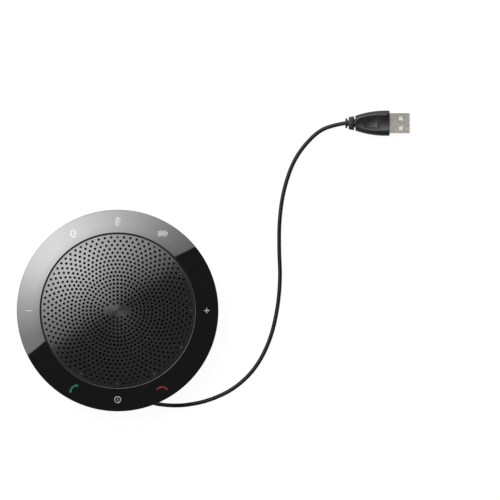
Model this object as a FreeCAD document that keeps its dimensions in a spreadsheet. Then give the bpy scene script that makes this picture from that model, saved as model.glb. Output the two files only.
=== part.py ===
import FreeCAD, Part
import math
import os
import re

import Sketcher

# Conference speakerphone. A disc 120 mm across stands on a rubber foot ring, with its cord wound in a
# groove round the base. The origin is on the surface it stands on, under the middle of the disc:
# +Z is up, +X is the loud side of the touch ring and -X is the headset jack. Lengths are in mm.

SIZES = {
    # overall
    "outer_radius": 60.0,
    "rim_height": 22.0,
    "rim_round": 3.0,
    # touch ring
    "ring_inner": 46.5,
    "ring_top": 27.8,
    "ring_fall": 2.42,
    "crown_centre": 21.0,
    "ring_wall": 1.8,
    "ring_skirt": 1.8,
    "ring_lip": 1.2,
    "ring_edge": 1.0,
    "ring_inner_edge": 0.5,
    # symbols in the ring
    "sign_circle": 53.0,
    "sign_depth": 0.5,
    "sign_line": 0.6,
    "sign_height": 5.2,
    "plus_width": 3.2,
    "gauge_length": 5.0,
    "gauge_width": 3.1,
    "power_diameter": 4.1,
    "handset_bow": 4.0,
    "handset_reach": 2.6,
    "handset_line": 0.9,
    "handset_end": 1.4,
    "handset_turn": 40.0,
    # grille, its cloth and its light pipes
    "grille_gap": 0.6,
    "dome_apex": 32.9,
    "dome_radius": 204.0,
    "grille_wall": 1.2,
    "hole_pitch": 2.3,
    "hole_diameter": 1.3,
    "plate_length": 15.4,
    "plate_width": 5.4,
    "pipe_clearance": 0.05,
    "cloth_gap": 0.1,
    "cloth_wall": 0.25,
    "led_size": 1.6,
    "led_height": 0.8,
    # base and cord groove
    "foot_inner": 36.0,
    "foot_outer": 43.0,
    "foot_stand": 1.0,
    "foot_seat": 0.8,
    "drum_radius": 44.0,
    "drum_wall": 2.0,
    "floor_wall": 2.0,
    "lip_radius": 52.0,
    "lip_wall": 1.4,
    "cover_top": 9.2,
    "groove_height": 8.2,
    "bay_width": 38.0,
    "bay_depth": 10.0,
    "overcut": 1.0,
    # housing deck and the collar under the driver
    "deck_wall": 2.0,
    "deck_drop": 1.4,
    "collar_inner": 33.0,
    "collar_wall": 3.5,
    "collar_rise": 0.5,
    # housing screws
    "boss_circle": 39.2,
    "boss_radius": 3.0,
    "screw_radius": 1.25,
    "screw_length": 12.0,
    "screw_head_radius": 2.2,
    "screw_head_height": 1.6,
    "screw_clearance": 0.25,
    # boards
    "board_radius": 35.4,
    "board_inner": 14.4,
    "board_wall": 1.0,
    "board_stand": 6.4,
    "post_circle": 32.0,
    "post_radius": 2.2,
    "post_angle": 65.0,
    "small_screw_radius": 0.9,
    "small_head_radius": 1.6,
    "small_head_height": 1.0,
    "small_screw_length": 4.0,
    "touch_inner": 41.5,
    "touch_outer": 57.0,
    "touch_wall": 1.0,
    "pad_radius": 3.0,
    "pad_height": 2.4,
    # battery
    "battery_length": 50.0,
    "battery_width": 34.0,
    "battery_height": 5.0,
    "battery_pad": 0.4,
    "foam_share": 0.8,
    "wire_radius": 0.45,
    "wire_spacing": 2.4,
    "wire_drop": 0.7,
    "lead_length": 3.5,
    "socket_length": 3.4,
    "socket_width": 6.0,
    "socket_height": 2.5,
    # chips and other parts on the main board
    "chip_circle": 24.0,
    "chip_height": 1.2,
    "processor_size": 8.0,
    "amplifier_size": 5.0,
    "power_chip_size": 4.0,
    "radio_length": 10.0,
    "radio_width": 13.0,
    "radio_wall": 0.8,
    "shield_margin": 0.75,
    "shield_height": 1.4,
    "capacitor_circle": 29.0,
    "capacitor_radius": 2.0,
    "capacitor_height": 4.5,
    # headset jack
    "jack_bore": 1.8,
    "jack_axis": 5.6,
    "jack_length": 12.0,
    "jack_width": 6.0,
    "jack_snout": 2.5,
    "jack_back": 1.5,
    # ribbon
    "ribbon_angle": 15.0,
    "ribbon_width": 8.0,
    "ribbon_wall": 0.3,
    "ribbon_reach": 39.6,
    "ribbon_bite": 0.9,
    "ribbon_rise": 0.6,
    "ribbon_tip": 0.3,
    "ribbon_socket_width": 9.0,
    "ribbon_socket_height": 1.5,
    "low_socket_length": 3.2,
    "high_socket_length": 2.4,
    # driver
    "flange_radius": 36.0,
    "flange_inner": 29.4,
    "basket_wall": 0.9,
    "driver_screws": 34.2,
    "roll_inner": 25.2,
    "roll_radius": 2.2,
    "cone_wall": 0.4,
    "cone_neck": 9.95,
    "cone_low": 21.3,
    "cap_margin": 2.2,
    "cap_rise": 3.0,
    "cone_high": 24.4,
    "coil_radius": 9.7,
    "former_wall": 0.15,
    "former_length": 6.2,
    "winding_wall": 0.65,
    "winding_height": 4.0,
    "air_gap": 0.4,
    "pot_wall": 2.1,
    "pot_floor": 2.2,
    "magnet_height": 3.6,
    "top_plate": 2.0,
    "magnet_radius": 9.0,
    "spider_outer": 20.0,
    "spider_wall": 0.3,
    "spider_land": 2.4,
    "spider_arch": 0.4,
    "spider_neck": 0.6,
    "ledge_radius": 17.4,
    "ledge_margin": 1.2,
    "ledge_rise": 1.6,
    "pot_drop": 4.1,
    "window_width": 14.0,
    "window_share": 0.55,
    "gasket_start": 1.5,
    "gasket_height": 1.0,
    "roll_start": 1.3,
    "roll_margin": 0.2,
    "cone_overlap": 1.2,
    "terminal_width": 8.0,
    "terminal_height": 1.0,
    "lead_circle": 19.5,
    "lead_angle": 4.5,
    # microphone
    "mic_circle": 39.0,
    "mic_angle": 120.0,
    "mic_radius": 1.6,
    "mic_height": 2.6,
    "mic_boot_wall": 0.7,
    # cord and plug
    "cord_diameter": 2.4,
    "cord_clearance": 0.3,
    "grommet_angle": 226.0,
    "grommet_width": 3.4,
    "grommet_height": 3.1,
    "grommet_flange": 0.8,
    "plug_middle": 111.5,
    "plug_back": 141.4,
    "plug_length": 20.4,
    "plug_width": 15.1,
    "plug_neck_width": 8.9,
    "plug_height": 7.8,
    "plug_shoulder": 18.0,
    "plug_round": 1.0,
    "rib_gap": 0.7,
    "rib_length": 3.3,
    "end_rib_length": 1.3,
    "rib_width": 8.5,
    "end_rib_width": 6.1,
    "neck_radius": 1.8,
    "root_radius": 2.6,
    "shell_width": 12.0,
    "shell_height": 4.5,
    "shell_length": 12.0,
    "shell_wall": 0.3,
    "shell_window": 2.4,
    "shell_window_start": 5.4,
    "shell_window_side": 2.9,
    "tongue_wall": 1.8,
    "contact_width": 1.0,
    "contact_wall": 0.2,
    "contact_length": 8.4,
    "contact_start": 1.2,
    "contact_pitch": 2.2,
}

# The cord's free stretch, from where it leaves the winding to where it enters the plug.
CORD_ROUTE = [
    (-14.8, -43.1, 15.8),
    (-2.5, -47.4, 15.6),
    (9.0, -51.6, 14.2),
    (20.5, -55.2, 9.8),
    (31.0, -56.6, 4.0),
    (41.5, -56.3, 1.2),
    (55.0, -53.4, 1.2),
    (69.5, -46.6, 1.2),
    (82.0, -34.8, 1.2),
    (90.5, -18.6, 1.2),
    (95.0, -0.5, 1.2),
    (96.9, 18.5, 1.2),
    (96.0, 37.0, 1.2),
    (96.2, 54.5, 1.2),
    (98.8, 72.5, 1.2),
    (105.3, 91.0, 1.2),
    (116.8, 104.8, 1.2),
    (126.0, 110.0, 2.2),
    (135.4, 111.5, 3.9),
]
ARC_SHARE = 0.45

HOUSING_SCREWS = 6
HOUSING_SCREW_START = 30
FOUR = 4
LIGHTS = 12
GRILLE_RINGS = 19
FIRST_HOLE_RING = 2
PLUG_CONTACTS = 4
SEAM_ANGLE = 45

doc = FreeCAD.newDocument("Speakerphone")
sheet = doc.addObject("Spreadsheet::Sheet", "sizes")
for row, (alias, number) in enumerate(SIZES.items(), start=1):
    sheet.set("A%d" % row, alias.replace("_", " "))
    sheet.set("B%d" % row, str(number))
    sheet.setAlias("B%d" % row, alias)
doc.recompute()

pieces = []


def number(expression):
    """The value of an expression in the sheet's words."""
    return float(sheet.evalExpression(str(expression)))


def bound(expression):
    """The same expression as another object of the document reads it."""
    return re.sub(r"\b([a-z]\w*)\b(?!\()", r"sizes.\1", str(expression))


def bind(target, **expressions):
    """Binds properties to the sheet; a double underscore in a name stands for a dot."""
    for name, expression in expressions.items():
        target.setExpression(name.replace("__", "."), bound(expression))


def piece(target, label):
    """Gives an object its node name and puts it among the pieces to write out."""
    target.Label = label
    pieces.append(target)
    return target


# ---- turned and padded bodies -------------------------------------------------------------------

def new_body(name):
    body = doc.addObject("PartDesign::Body", name)
    body.AllowCompound = True
    return body


def origin_part(body, role):
    return next(part for part in body.Origin.OriginFeatures if part.Role == role)


def arc_between(start, end, radius):
    """The short arc from start to end; its centre is on the left for a positive radius."""
    chord = end - start
    middle = (start + end) * 0.5
    reach = math.sqrt(radius * radius - chord.Length ** 2 / 4)
    side = FreeCAD.Vector(-chord.y, chord.x, 0).normalize()
    centre = middle + side * (reach if radius > 0 else -reach)
    first, second = (start, end) if radius > 0 else (end, start)
    angles = [math.atan2(point.y - centre.y, point.x - centre.x) for point in (first, second)]
    circle = Part.Circle(centre, FreeCAD.Vector(0, 0, 1), abs(radius))
    return Part.ArcOfCircle(circle, angles[0], angles[1])


def outline(body, role, corners, level="0"):
    """A closed sketch. A corner is (across, up) or (across, up, radius of the side that follows)."""
    sketch = body.newObject("Sketcher::SketchObject", body.Name + "_outline")
    sketch.AttachmentSupport = (origin_part(body, role), [""])
    sketch.MapMode = "FlatFace"
    bind(sketch, AttachmentOffset__Base__z=level)
    points = [FreeCAD.Vector(number(corner[0]), number(corner[1]), 0) for corner in corners]
    ends = []
    for index, corner in enumerate(corners):
        start, end = points[index], points[(index + 1) % len(points)]
        if len(corner) == 3:
            radius = number(corner[2])
            sketch.addGeometry(arc_between(start, end, radius))
            ends.append((1, 2) if radius > 0 else (2, 1))
            held = sketch.addConstraint(Sketcher.Constraint("Radius", index, abs(radius)))
            sketch.setExpression("Constraints[%d]" % held, bound("abs(%s)" % corner[2]))
        else:
            sketch.addGeometry(Part.LineSegment(start, end))
            ends.append((1, 2))
    for index in range(len(corners)):
        after = (index + 1) % len(corners)
        sketch.addConstraint(Sketcher.Constraint("Coincident", index, ends[index][1], after, ends[after][0]))
    for index, corner in enumerate(corners):
        for kind, expression, place, axis in (
            ("DistanceX", corner[0], points[index].x, -2),
            ("DistanceY", corner[1], points[index].y, -1),
        ):
            if str(expression) == "0":
                sketch.addConstraint(Sketcher.Constraint("PointOnObject", index, ends[index][0], axis))
                continue
            held = sketch.addConstraint(Sketcher.Constraint(kind, -1, 1, index, ends[index][0], place))
            sketch.setExpression("Constraints[%d]" % held, bound(expression))
    return sketch


def turned(name, corners):
    """A body of revolution about the vertical axis, from its half section."""
    body = new_body(name)
    sketch = outline(body, "XZ_Plane", corners)
    turn = body.newObject("PartDesign::Revolution", name + "_turn")
    turn.Profile = sketch
    turn.ReferenceAxis = (sketch, ["V_Axis"])
    turn.Angle = 360
    return body


def ring_section(inner, outer, low, high):
    return [(outer, low), (outer, high), (inner, high), (inner, low)]


def pad(name, role, corners, level, height, midplane=False):
    """A flat outline raised to a thickness."""
    body = new_body(name)
    sketch = outline(body, role, corners, level)
    raised = body.newObject("PartDesign::Pad", name + "_pad")
    raised.Profile = sketch
    raised.Midplane = midplane
    bind(raised, Length=height)
    return body


# ---- primitives and booleans --------------------------------------------------------------------

def block(name, radius, angle, low, length, width, height):
    """A box whose middle is at a radius and an angle, with its length along the radius."""
    box = doc.addObject("Part::Box", name)
    bind(box, Length=length, Width=width, Height=height)
    box.Placement.Rotation = FreeCAD.Rotation(FreeCAD.Vector(0, 0, 1), 1)
    near = "((%s) - (%s) / 2)" % (radius, length)
    bind(
        box,
        Placement__Base__x="cos(%s) * %s + sin(%s) * (%s) / 2" % (angle, near, angle, width),
        Placement__Base__y="sin(%s) * %s - cos(%s) * (%s) / 2" % (angle, near, angle, width),
        Placement__Base__z=low,
        Placement__Rotation__Angle=angle,
    )
    return box


def rod(name, radius, angle, size, low, height):
    """An upright cylinder at a radius and an angle."""
    cylinder = doc.addObject("Part::Cylinder", name)
    bind(
        cylinder,
        Radius=size,
        Height=height,
        Placement__Base__x="(%s) * cos(%s)" % (radius, angle),
        Placement__Base__y="(%s) * sin(%s)" % (radius, angle),
        Placement__Base__z=low,
    )
    return cylinder


def bar(name, start, across, height, size, length, angle="0"):
    """A lying cylinder that starts at a radius, stands off sideways and points along an angle."""
    cylinder = doc.addObject("Part::Cylinder", name)
    cylinder.Placement.Rotation = FreeCAD.Rotation(FreeCAD.Vector(0, 0, 1), number(angle)).multiply(
        FreeCAD.Rotation(FreeCAD.Vector(0, 1, 0), 90)
    )
    bind(
        cylinder,
        Radius=size,
        Height=length,
        Placement__Base__x="cos(%s) * (%s) - sin(%s) * (%s)" % (angle, start, angle, across),
        Placement__Base__y="sin(%s) * (%s) + cos(%s) * (%s)" % (angle, start, angle, across),
        Placement__Base__z=height,
    )
    return cylinder


def round_the_ring(count, first, maker):
    """Makes one copy at each even step of angle."""
    return [maker(index, "%s + %d" % (first, index * 360 // count)) for index in range(count)]


def joined(name, members):
    fused = doc.addObject("Part::MultiFuse", name)
    fused.Shapes = members
    return fused


def group(name, members):
    compound = doc.addObject("Part::Compound", name)
    compound.Links = members
    return compound


def cut(name, base, tools):
    taken = doc.addObject("Part::Cut", name)
    taken.Base = base
    taken.Tool = tools[0] if len(tools) == 1 else joined(name + "_tools", tools)
    return taken


def common(name, base, tool):
    shared = doc.addObject("Part::Common", name)
    shared.Base = base
    shared.Tool = tool
    return shared


# ---- heights that several pieces share ----------------------------------------------------------

DRUM_INNER = "(drum_radius - drum_wall)"
FLOOR_TOP = "(foot_stand + floor_wall)"
GROOVE_TOP = "(cover_top + groove_height)"
DECK = "(rim_height - deck_drop)"
DECK_UNDER = "(%s - deck_wall)" % DECK
TOUCH_TOP = "(%s + touch_wall)" % DECK
BOARD_LOW = "(%s + board_stand)" % FLOOR_TOP
BOARD_TOP = "(%s + board_wall)" % BOARD_LOW
COLLAR_TOP = "(rim_height + collar_rise)"
FLANGE_TOP = "(%s + basket_wall)" % COLLAR_TOP
GRILLE_EDGE = "(ring_inner - grille_gap)"
LIGHT_CIRCLE = "(hole_pitch * %d)" % GRILLE_RINGS
FORMER_OUTER = "(coil_radius + former_wall)"
WINDING_OUTER = "(%s + winding_wall)" % FORMER_OUTER
POT_INNER = "(%s + air_gap)" % WINDING_OUTER
POT_OUTER = "(%s + pot_wall)" % POT_INNER
POT_TOP = "(%s - pot_drop)" % COLLAR_TOP
POT_LOW = "(%s - top_plate - magnet_height - pot_floor)" % POT_TOP
# The ring's face is an arc about a point inside the disc, so that it falls by ring_fall to the rim.
CROWN_IN = "(ring_inner - crown_centre)"
CROWN_OUT = "(outer_radius - crown_centre)"
CROWN_RISE = "((%s ^ 2 - %s ^ 2 + ring_fall ^ 2) / (2 * ring_fall))" % (CROWN_OUT, CROWN_IN)
RING_CROWN = "sqrt(%s ^ 2 + %s ^ 2)" % (CROWN_RISE, CROWN_IN)


def crown(radius):
    """Height of the touch ring's face at a radius."""
    return "(ring_top - %s + sqrt(%s ^ 2 + %s ^ 2 - ((%s) - crown_centre) ^ 2))" % (
        CROWN_RISE, CROWN_RISE, CROWN_IN, radius)


def dome(radius, depth="0"):
    """Height of the grille's face, or of the same dome a depth below it, at a radius."""
    return "(dome_apex - dome_radius + sqrt((dome_radius - (%s)) ^ 2 - (%s) ^ 2))" % (depth, radius)


# ---- base ---------------------------------------------------------------------------------------

piece(turned("foot_ring", [
    ("foot_outer - foot_seat", "0"),
    ("foot_outer", "foot_seat"),
    ("foot_outer", "foot_stand + foot_seat"),
    ("foot_inner", "foot_stand + foot_seat"),
    ("foot_inner", "foot_seat"),
    ("foot_inner + foot_seat", "0"),
]), "foot_ring")

cover_blank = turned("cover_blank", [
    ("0", "foot_stand"),
    ("foot_inner", "foot_stand"),
    ("foot_inner", "foot_stand + foot_seat"),
    ("foot_outer", "foot_stand + foot_seat"),
    ("foot_outer", "foot_stand"),
    ("drum_radius", "foot_stand + foot_seat"),
    ("drum_radius", "cover_top - lip_wall"),
    ("lip_radius", "cover_top - lip_wall"),
    ("lip_radius", "cover_top"),
    (DRUM_INNER, "cover_top"),
    (DRUM_INNER, FLOOR_TOP),
    ("0", FLOOR_TOP),
])
cover_bosses = round_the_ring(HOUSING_SCREWS, HOUSING_SCREW_START, lambda index, angle: rod(
    "cover_boss", "boss_circle", angle, "boss_radius", "foot_stand + foot_seat",
    "cover_top - foot_stand - foot_seat"))
board_posts = round_the_ring(FOUR, "post_angle", lambda index, angle: rod(
    "board_post", "post_circle", angle, "post_radius", FLOOR_TOP, "board_stand"))
cover_solid = joined("cover_solid", [cover_blank] + cover_bosses + board_posts)
HEAD_SEAT = "(foot_stand + foot_seat + screw_head_height + screw_clearance)"
cover_cuts = round_the_ring(HOUSING_SCREWS, HOUSING_SCREW_START, lambda index, angle: rod(
    "screw_way", "boss_circle", angle, "screw_radius + screw_clearance", "foot_stand", "cover_top"))
cover_cuts += round_the_ring(HOUSING_SCREWS, HOUSING_SCREW_START, lambda index, angle: rod(
    "screw_seat", "boss_circle", angle, "screw_head_radius + screw_clearance", "0", HEAD_SEAT))
cover_cuts += round_the_ring(FOUR, "post_angle", lambda index, angle: rod(
    "post_hole", "post_circle", angle, "small_screw_radius", "%s - small_screw_length" % BOARD_TOP,
    "small_screw_length"))
cover_cuts.append(bar("jack_way", "%s - overcut" % DRUM_INNER, "0", "jack_axis",
                      "jack_snout + pipe_clearance", "drum_wall + 2 * overcut", "180"))
cover_cuts.append(block("bay_notch", "drum_radius + pipe_clearance + bay_depth / 2", "90",
                        "cover_top - lip_wall - overcut", "bay_depth", "bay_width", "lip_wall + 2 * overcut"))
piece(cut("cover_cut", cover_solid, cover_cuts), "bottom_cover")

# ---- upper housing ------------------------------------------------------------------------------

housing_blank = turned("housing_blank", [
    (DRUM_INNER, "cover_top"),
    ("drum_radius", "cover_top"),
    ("drum_radius", GROOVE_TOP),
    ("outer_radius - rim_round", "rim_height - rim_round", "rim_round"),
    ("outer_radius", "rim_height"),
    ("touch_outer + cord_clearance", "rim_height"),
    ("touch_outer + cord_clearance", DECK),
    ("collar_inner + collar_wall", DECK),
    ("collar_inner + collar_wall", COLLAR_TOP),
    ("collar_inner", COLLAR_TOP),
    ("collar_inner", DECK_UNDER),
    (DRUM_INNER, DECK_UNDER),
])
housing_bosses = round_the_ring(HOUSING_SCREWS, HOUSING_SCREW_START, lambda index, angle: rod(
    "housing_boss", "boss_circle", angle, "boss_radius", "cover_top", "%s - cover_top" % DECK))
housing_solid = joined("housing_solid", [housing_blank] + housing_bosses)
housing_cuts = round_the_ring(HOUSING_SCREWS, HOUSING_SCREW_START, lambda index, angle: rod(
    "pilot_hole", "boss_circle", angle, "screw_radius", "cover_top - overcut",
    "%s + screw_length - cover_top + 2 * overcut" % HEAD_SEAT))
housing_cuts += round_the_ring(FOUR, "45", lambda index, angle: rod(
    "driver_hole", "driver_screws", angle, "small_screw_radius", "%s - small_screw_length" % FLANGE_TOP,
    "small_screw_length"))
housing_cuts.append(block("ribbon_slot", "ribbon_reach - ribbon_wall / 2", "ribbon_angle",
                          "%s - overcut" % DECK_UNDER, "ribbon_wall + overcut", "ribbon_width + overcut",
                          "deck_wall + 2 * overcut"))
housing_cuts.append(block("grommet_notch", "drum_radius - drum_wall / 2", "grommet_angle",
                          "cover_top - overcut", "drum_wall + overcut", "grommet_width",
                          "grommet_height + overcut"))
piece(cut("housing_cut", housing_solid, housing_cuts), "upper_housing")

housing_screws = round_the_ring(HOUSING_SCREWS, HOUSING_SCREW_START, lambda index, angle: joined(
    "housing_screw", [
        rod("screw_head", "boss_circle", angle, "screw_head_radius", "%s - screw_head_height" % HEAD_SEAT,
            "screw_head_height"),
        rod("screw_shank", "boss_circle", angle, "screw_radius", HEAD_SEAT, "screw_length"),
    ]))
piece(group("screw_group", housing_screws), "housing_screws")

# ---- touch ring and its symbols -----------------------------------------------------------------

RING_EDGE_IN = "(outer_radius - ring_edge)"
SKIRT_IN = "(outer_radius - ring_skirt)"
LIP_OUT = "(ring_inner + ring_lip)"
BEVEL_OUT = "(ring_inner + ring_inner_edge)"
ring_blank = turned("ring_blank", [
    ("outer_radius", "rim_height"),
    ("outer_radius", "%s - ring_edge" % crown(RING_EDGE_IN), "ring_edge"),
    (RING_EDGE_IN, crown(RING_EDGE_IN), RING_CROWN),
    (BEVEL_OUT, crown(BEVEL_OUT), "ring_inner_edge"),
    ("ring_inner", "%s - ring_inner_edge" % crown(BEVEL_OUT)),
    ("ring_inner", "%s + cord_clearance" % TOUCH_TOP),
    (LIP_OUT, "%s + cord_clearance" % TOUCH_TOP),
    (LIP_OUT, "%s - ring_wall" % crown(LIP_OUT), "-%s" % RING_CROWN),
    (SKIRT_IN, "%s - ring_wall" % crown(SKIRT_IN)),
    (SKIRT_IN, "rim_height"),
])
SIGN_IN = "(sign_circle - sign_height)"
SIGN_OUT = "(sign_circle + sign_height)"
sign_layer = turned("sign_layer", [
    (SIGN_OUT, "%s - sign_depth" % crown(SIGN_OUT)),
    (SIGN_OUT, crown(SIGN_OUT), RING_CROWN),
    (SIGN_IN, crown(SIGN_IN)),
    (SIGN_IN, "%s - sign_depth" % crown(SIGN_IN), "-%s" % RING_CROWN),
])


# The seams of both turned bodies stand clear of every symbol.
for body in (ring_blank, sign_layer):
    body.Placement.Rotation = FreeCAD.Rotation(FreeCAD.Vector(0, 0, 1), SEAM_ANGLE)


def stroke(across, up, length, width, turn=0):
    """One straight stroke of a symbol, about the symbol's own middle."""
    box = doc.addObject("Part::Box", "stroke")
    box.Placement.Rotation = FreeCAD.Rotation(FreeCAD.Vector(0, 0, 1), turn)
    cosine, sine = "cos(%s)" % turn, "sin(%s)" % turn
    bind(
        box,
        Length=length,
        Width=width,
        Height="dome_apex",
        Placement__Base__x="(%s) - %s * (%s) / 2 + %s * (%s) / 2" % (across, cosine, length, sine, width),
        Placement__Base__y="(%s) - %s * (%s) / 2 - %s * (%s) / 2" % (up, sine, length, cosine, width),
    )
    return box


def dot(across, up, size):
    """A round prism about a point of a symbol."""
    cylinder = doc.addObject("Part::Cylinder", "dot")
    bind(cylinder, Radius=size, Height="dome_apex", Placement__Base__x=across, Placement__Base__y=up)
    return cylinder


def loop(across, up, size, line="sign_line"):
    """A round line of a symbol."""
    return cut("loop", dot(across, up, size), [dot(across, up, "(%s) - (%s)" % (size, line))])


def capsule(up, length, width):
    """An upright shape with round ends."""
    end = "((%s) - (%s)) / 2" % (length, width)
    return joined("capsule", [
        stroke("0", up, width, "(%s) - (%s)" % (length, width)),
        dot("0", "(%s) + %s" % (up, end), "(%s) / 2" % width),
        dot("0", "(%s) - %s" % (up, end), "(%s) / 2" % width),
    ])


def sign(name, angle, turn, strokes):
    """A symbol set into the ring's face, upright unless turned about its own middle."""
    prism = joined(name + "_prism", strokes)
    prism.Placement.Rotation = FreeCAD.Rotation(FreeCAD.Vector(0, 0, 1), turn)
    bind(
        prism,
        Placement__Base__x="sign_circle * cos(%d)" % angle,
        Placement__Base__y="sign_circle * sin(%d)" % angle,
    )
    return common(name, prism, sign_layer)


def handset():
    """A telephone handset seen from its side: a low arch with two thick ends."""
    middle = "(0.5 * handset_line - handset_bow)"
    ends_level = "(%s + sqrt(handset_bow ^ 2 - handset_reach ^ 2))" % middle
    arch = cut("arch", dot("0", middle, "handset_bow + handset_line / 2"), [
        dot("0", middle, "handset_bow - handset_line / 2"),
        stroke("0", "%s - handset_bow" % ends_level, "4 * handset_bow", "2 * handset_bow"),
    ])
    ends = [
        stroke("%d * handset_reach" % side, "%s - handset_line / 6" % ends_level, "handset_end",
               "1.3 * handset_line", -number("handset_turn") * side)
        for side in (-1, 1)
    ]
    return [arch] + ends


# A microphone on its stand, parted by the gap beside the stroke across it.
cup = cut("cup", loop("0", "0.1 * sign_height", "0.3 * sign_height", "0.7 * sign_line"), [
    stroke("0", "0.5 * sign_height", "sign_height", "0.8 * sign_height"),
])
microphone_sign = cut("microphone_sign", joined("microphone_strokes", [
    capsule("0.2 * sign_height", "0.58 * sign_height", "0.31 * sign_height"),
    cup,
    stroke("0", "-0.29 * sign_height", "0.7 * sign_line", "0.2 * sign_height"),
    stroke("0", "-0.42 * sign_height", "0.4 * sign_height", "0.7 * sign_line"),
]), [stroke("0", "0", "2 * sign_line", "1.2 * sign_height", -42)])
mute_sign = sign("mute_sign", 90, 0, [
    microphone_sign, stroke("0", "0", "0.75 * sign_line", "1.05 * sign_height", -42)])
link_sign = sign("link_sign", 120, 0, [
    cut("link_loop", capsule("0", "0.88 * sign_height", "0.6 * sign_height"), [
        capsule("0", "0.88 * sign_height - 2.2 * sign_line", "0.6 * sign_height - 2.2 * sign_line")]),
    dot("0", "0", "0.6 * sign_line"),
])
gauge_case = cut("gauge_case", stroke("0", "0", "gauge_length", "gauge_width"), [
    stroke("0", "0", "gauge_length - 1.4 * sign_line", "gauge_width - 1.4 * sign_line")])
gauge_bars = [
    stroke("%d * 0.25 * gauge_length" % step, "0", "0.2 * gauge_length", "gauge_width - 2.6 * sign_line")
    for step in (-1, 0, 1)
]
gauge_sign = sign("gauge_sign", 60, 0, [gauge_case, stroke(
    "gauge_length / 2 + sign_line / 2", "0", "sign_line", "0.45 * gauge_width")] + gauge_bars)
louder_sign = sign("louder_sign", 0, 0, [
    stroke("0", "0", "plus_width", "0.8 * sign_line"), stroke("0", "0", "0.8 * sign_line", "plus_width")])
softer_sign = sign("softer_sign", 180, 0, [
    stroke("0", "0", "plus_width / 2", "0.8 * sign_line"), stroke("0", "0", "plus_width", "0.8 * sign_line")])
power_sign = sign("power_sign", 270, 0, [
    loop("0", "0", "power_diameter / 2", "0.85 * sign_line"),
    stroke("0", "0", "0.9 * sign_line", "0.27 * power_diameter")])
white_group = group("white_group", [mute_sign, link_sign, gauge_sign, louder_sign, softer_sign, power_sign])
piece(white_group, "white_symbols")
piece(sign("answer_sign", 240, 42, handset()), "answer_symbol")
piece(sign("hangup_sign", 300, 0, handset()), "hangup_symbol")
piece(cut("ring_cut", ring_blank, [white_group, doc.getObject("answer_sign"), doc.getObject("hangup_sign")]),
      "control_ring")

# ---- grille, cloth and light pipes --------------------------------------------------------------

SKIRT_TOP = dome(GRILLE_EDGE)
grille_blank = turned("grille_blank", [
    (GRILLE_EDGE, TOUCH_TOP),
    (GRILLE_EDGE, SKIRT_TOP, "dome_radius"),
    ("0", "dome_apex"),
    ("0", "dome_apex - grille_wall", "-(dome_radius - grille_wall)"),
    ("%s - grille_wall" % GRILLE_EDGE, dome("%s - grille_wall" % GRILLE_EDGE, "grille_wall")),
    ("%s - grille_wall" % GRILLE_EDGE, TOUCH_TOP),
])


def holes_in_ring(ring):
    """Holes in each ring of the grille: the pitch along a ring stays near the pitch across."""
    if ring < 7:
        return 6 * ring
    return {7: 48, 8: 48, 9: 60, 10: 60, 11: 60}.get(ring, 72)


def hole_places():
    """Each hole's place as seen from above; the even rings from the tenth out are half a step round."""
    pitch = number("hole_pitch")
    half_length, half_width = number("plate_length") / 2, number("plate_width") / 2
    for ring in range(FIRST_HOLE_RING, GRILLE_RINGS + 1):
        count = holes_in_ring(ring)
        offset = 0.5 if ring >= 10 and ring % 2 == 0 else 0.0
        for index in range(count):
            turn = math.radians(90) + 2 * math.pi * (index + offset) / count
            place = FreeCAD.Vector(ring * pitch * math.cos(turn), ring * pitch * math.sin(turn), 0)
            if abs(place.x) > half_length or abs(place.y) > half_width:
                yield place


hole_tools = []
for place in hole_places():
    tool = Part.makeCylinder(number("hole_diameter") / 2, number("dome_apex - %s" % TOUCH_TOP))
    tool.translate(FreeCAD.Vector(place.x, place.y, number(TOUCH_TOP) + 1))
    hole_tools.append(tool)
doc.recompute()
grille = doc.addObject("Part::Feature", "grille")
grille.Shape = grille_blank.Shape.cut(Part.makeCompound(hole_tools))
piece(grille, "grille")

CLOTH_DEPTH = "grille_wall + cloth_gap"
CLOTH_EDGE = "(%s - hole_diameter)" % LIGHT_CIRCLE
piece(turned("grille_cloth", [
    (CLOTH_EDGE, dome(CLOTH_EDGE, CLOTH_DEPTH), "dome_radius - (%s)" % CLOTH_DEPTH),
    ("0", "dome_apex - (%s)" % CLOTH_DEPTH),
    ("0", "dome_apex - (%s) - cloth_wall" % CLOTH_DEPTH, "-(dome_radius - (%s) - cloth_wall)" % CLOTH_DEPTH),
    (CLOTH_EDGE, dome(CLOTH_EDGE, "(%s) + cloth_wall" % CLOTH_DEPTH)),
]), "grille_cloth")

dome_core = turned("dome_core", [
    ("0", DECK),
    (GRILLE_EDGE, DECK),
    (GRILLE_EDGE, SKIRT_TOP, "dome_radius"),
    ("0", "dome_apex"),
])
pipe_rods = round_the_ring(LIGHTS, 0, lambda index, angle: rod(
    "pipe_rod", LIGHT_CIRCLE, angle, "hole_diameter / 2 - pipe_clearance", "%s + led_height" % TOUCH_TOP,
    "dome_apex - %s - led_height" % TOUCH_TOP))
piece(common("pipe_group", group("pipe_rods", pipe_rods), dome_core), "light_pipes")

# ---- touch board --------------------------------------------------------------------------------

piece(turned("touch_board", ring_section("touch_inner", "touch_outer", DECK, TOUCH_TOP)), "touch_board")
piece(group("led_group", round_the_ring(LIGHTS, 0, lambda index, angle: block(
    "led", LIGHT_CIRCLE, angle, TOUCH_TOP, "led_size", "led_size", "led_height"))), "ring_leds")
pads = [rod("touch_pad", "sign_circle", str(angle), "pad_radius", TOUCH_TOP, "pad_height")
        for angle in (0, 60, 90, 120, 180, 240, 270, 300)]
piece(group("pad_group", pads), "touch_pads")

# ---- battery ------------------------------------------------------------------------------------

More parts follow.
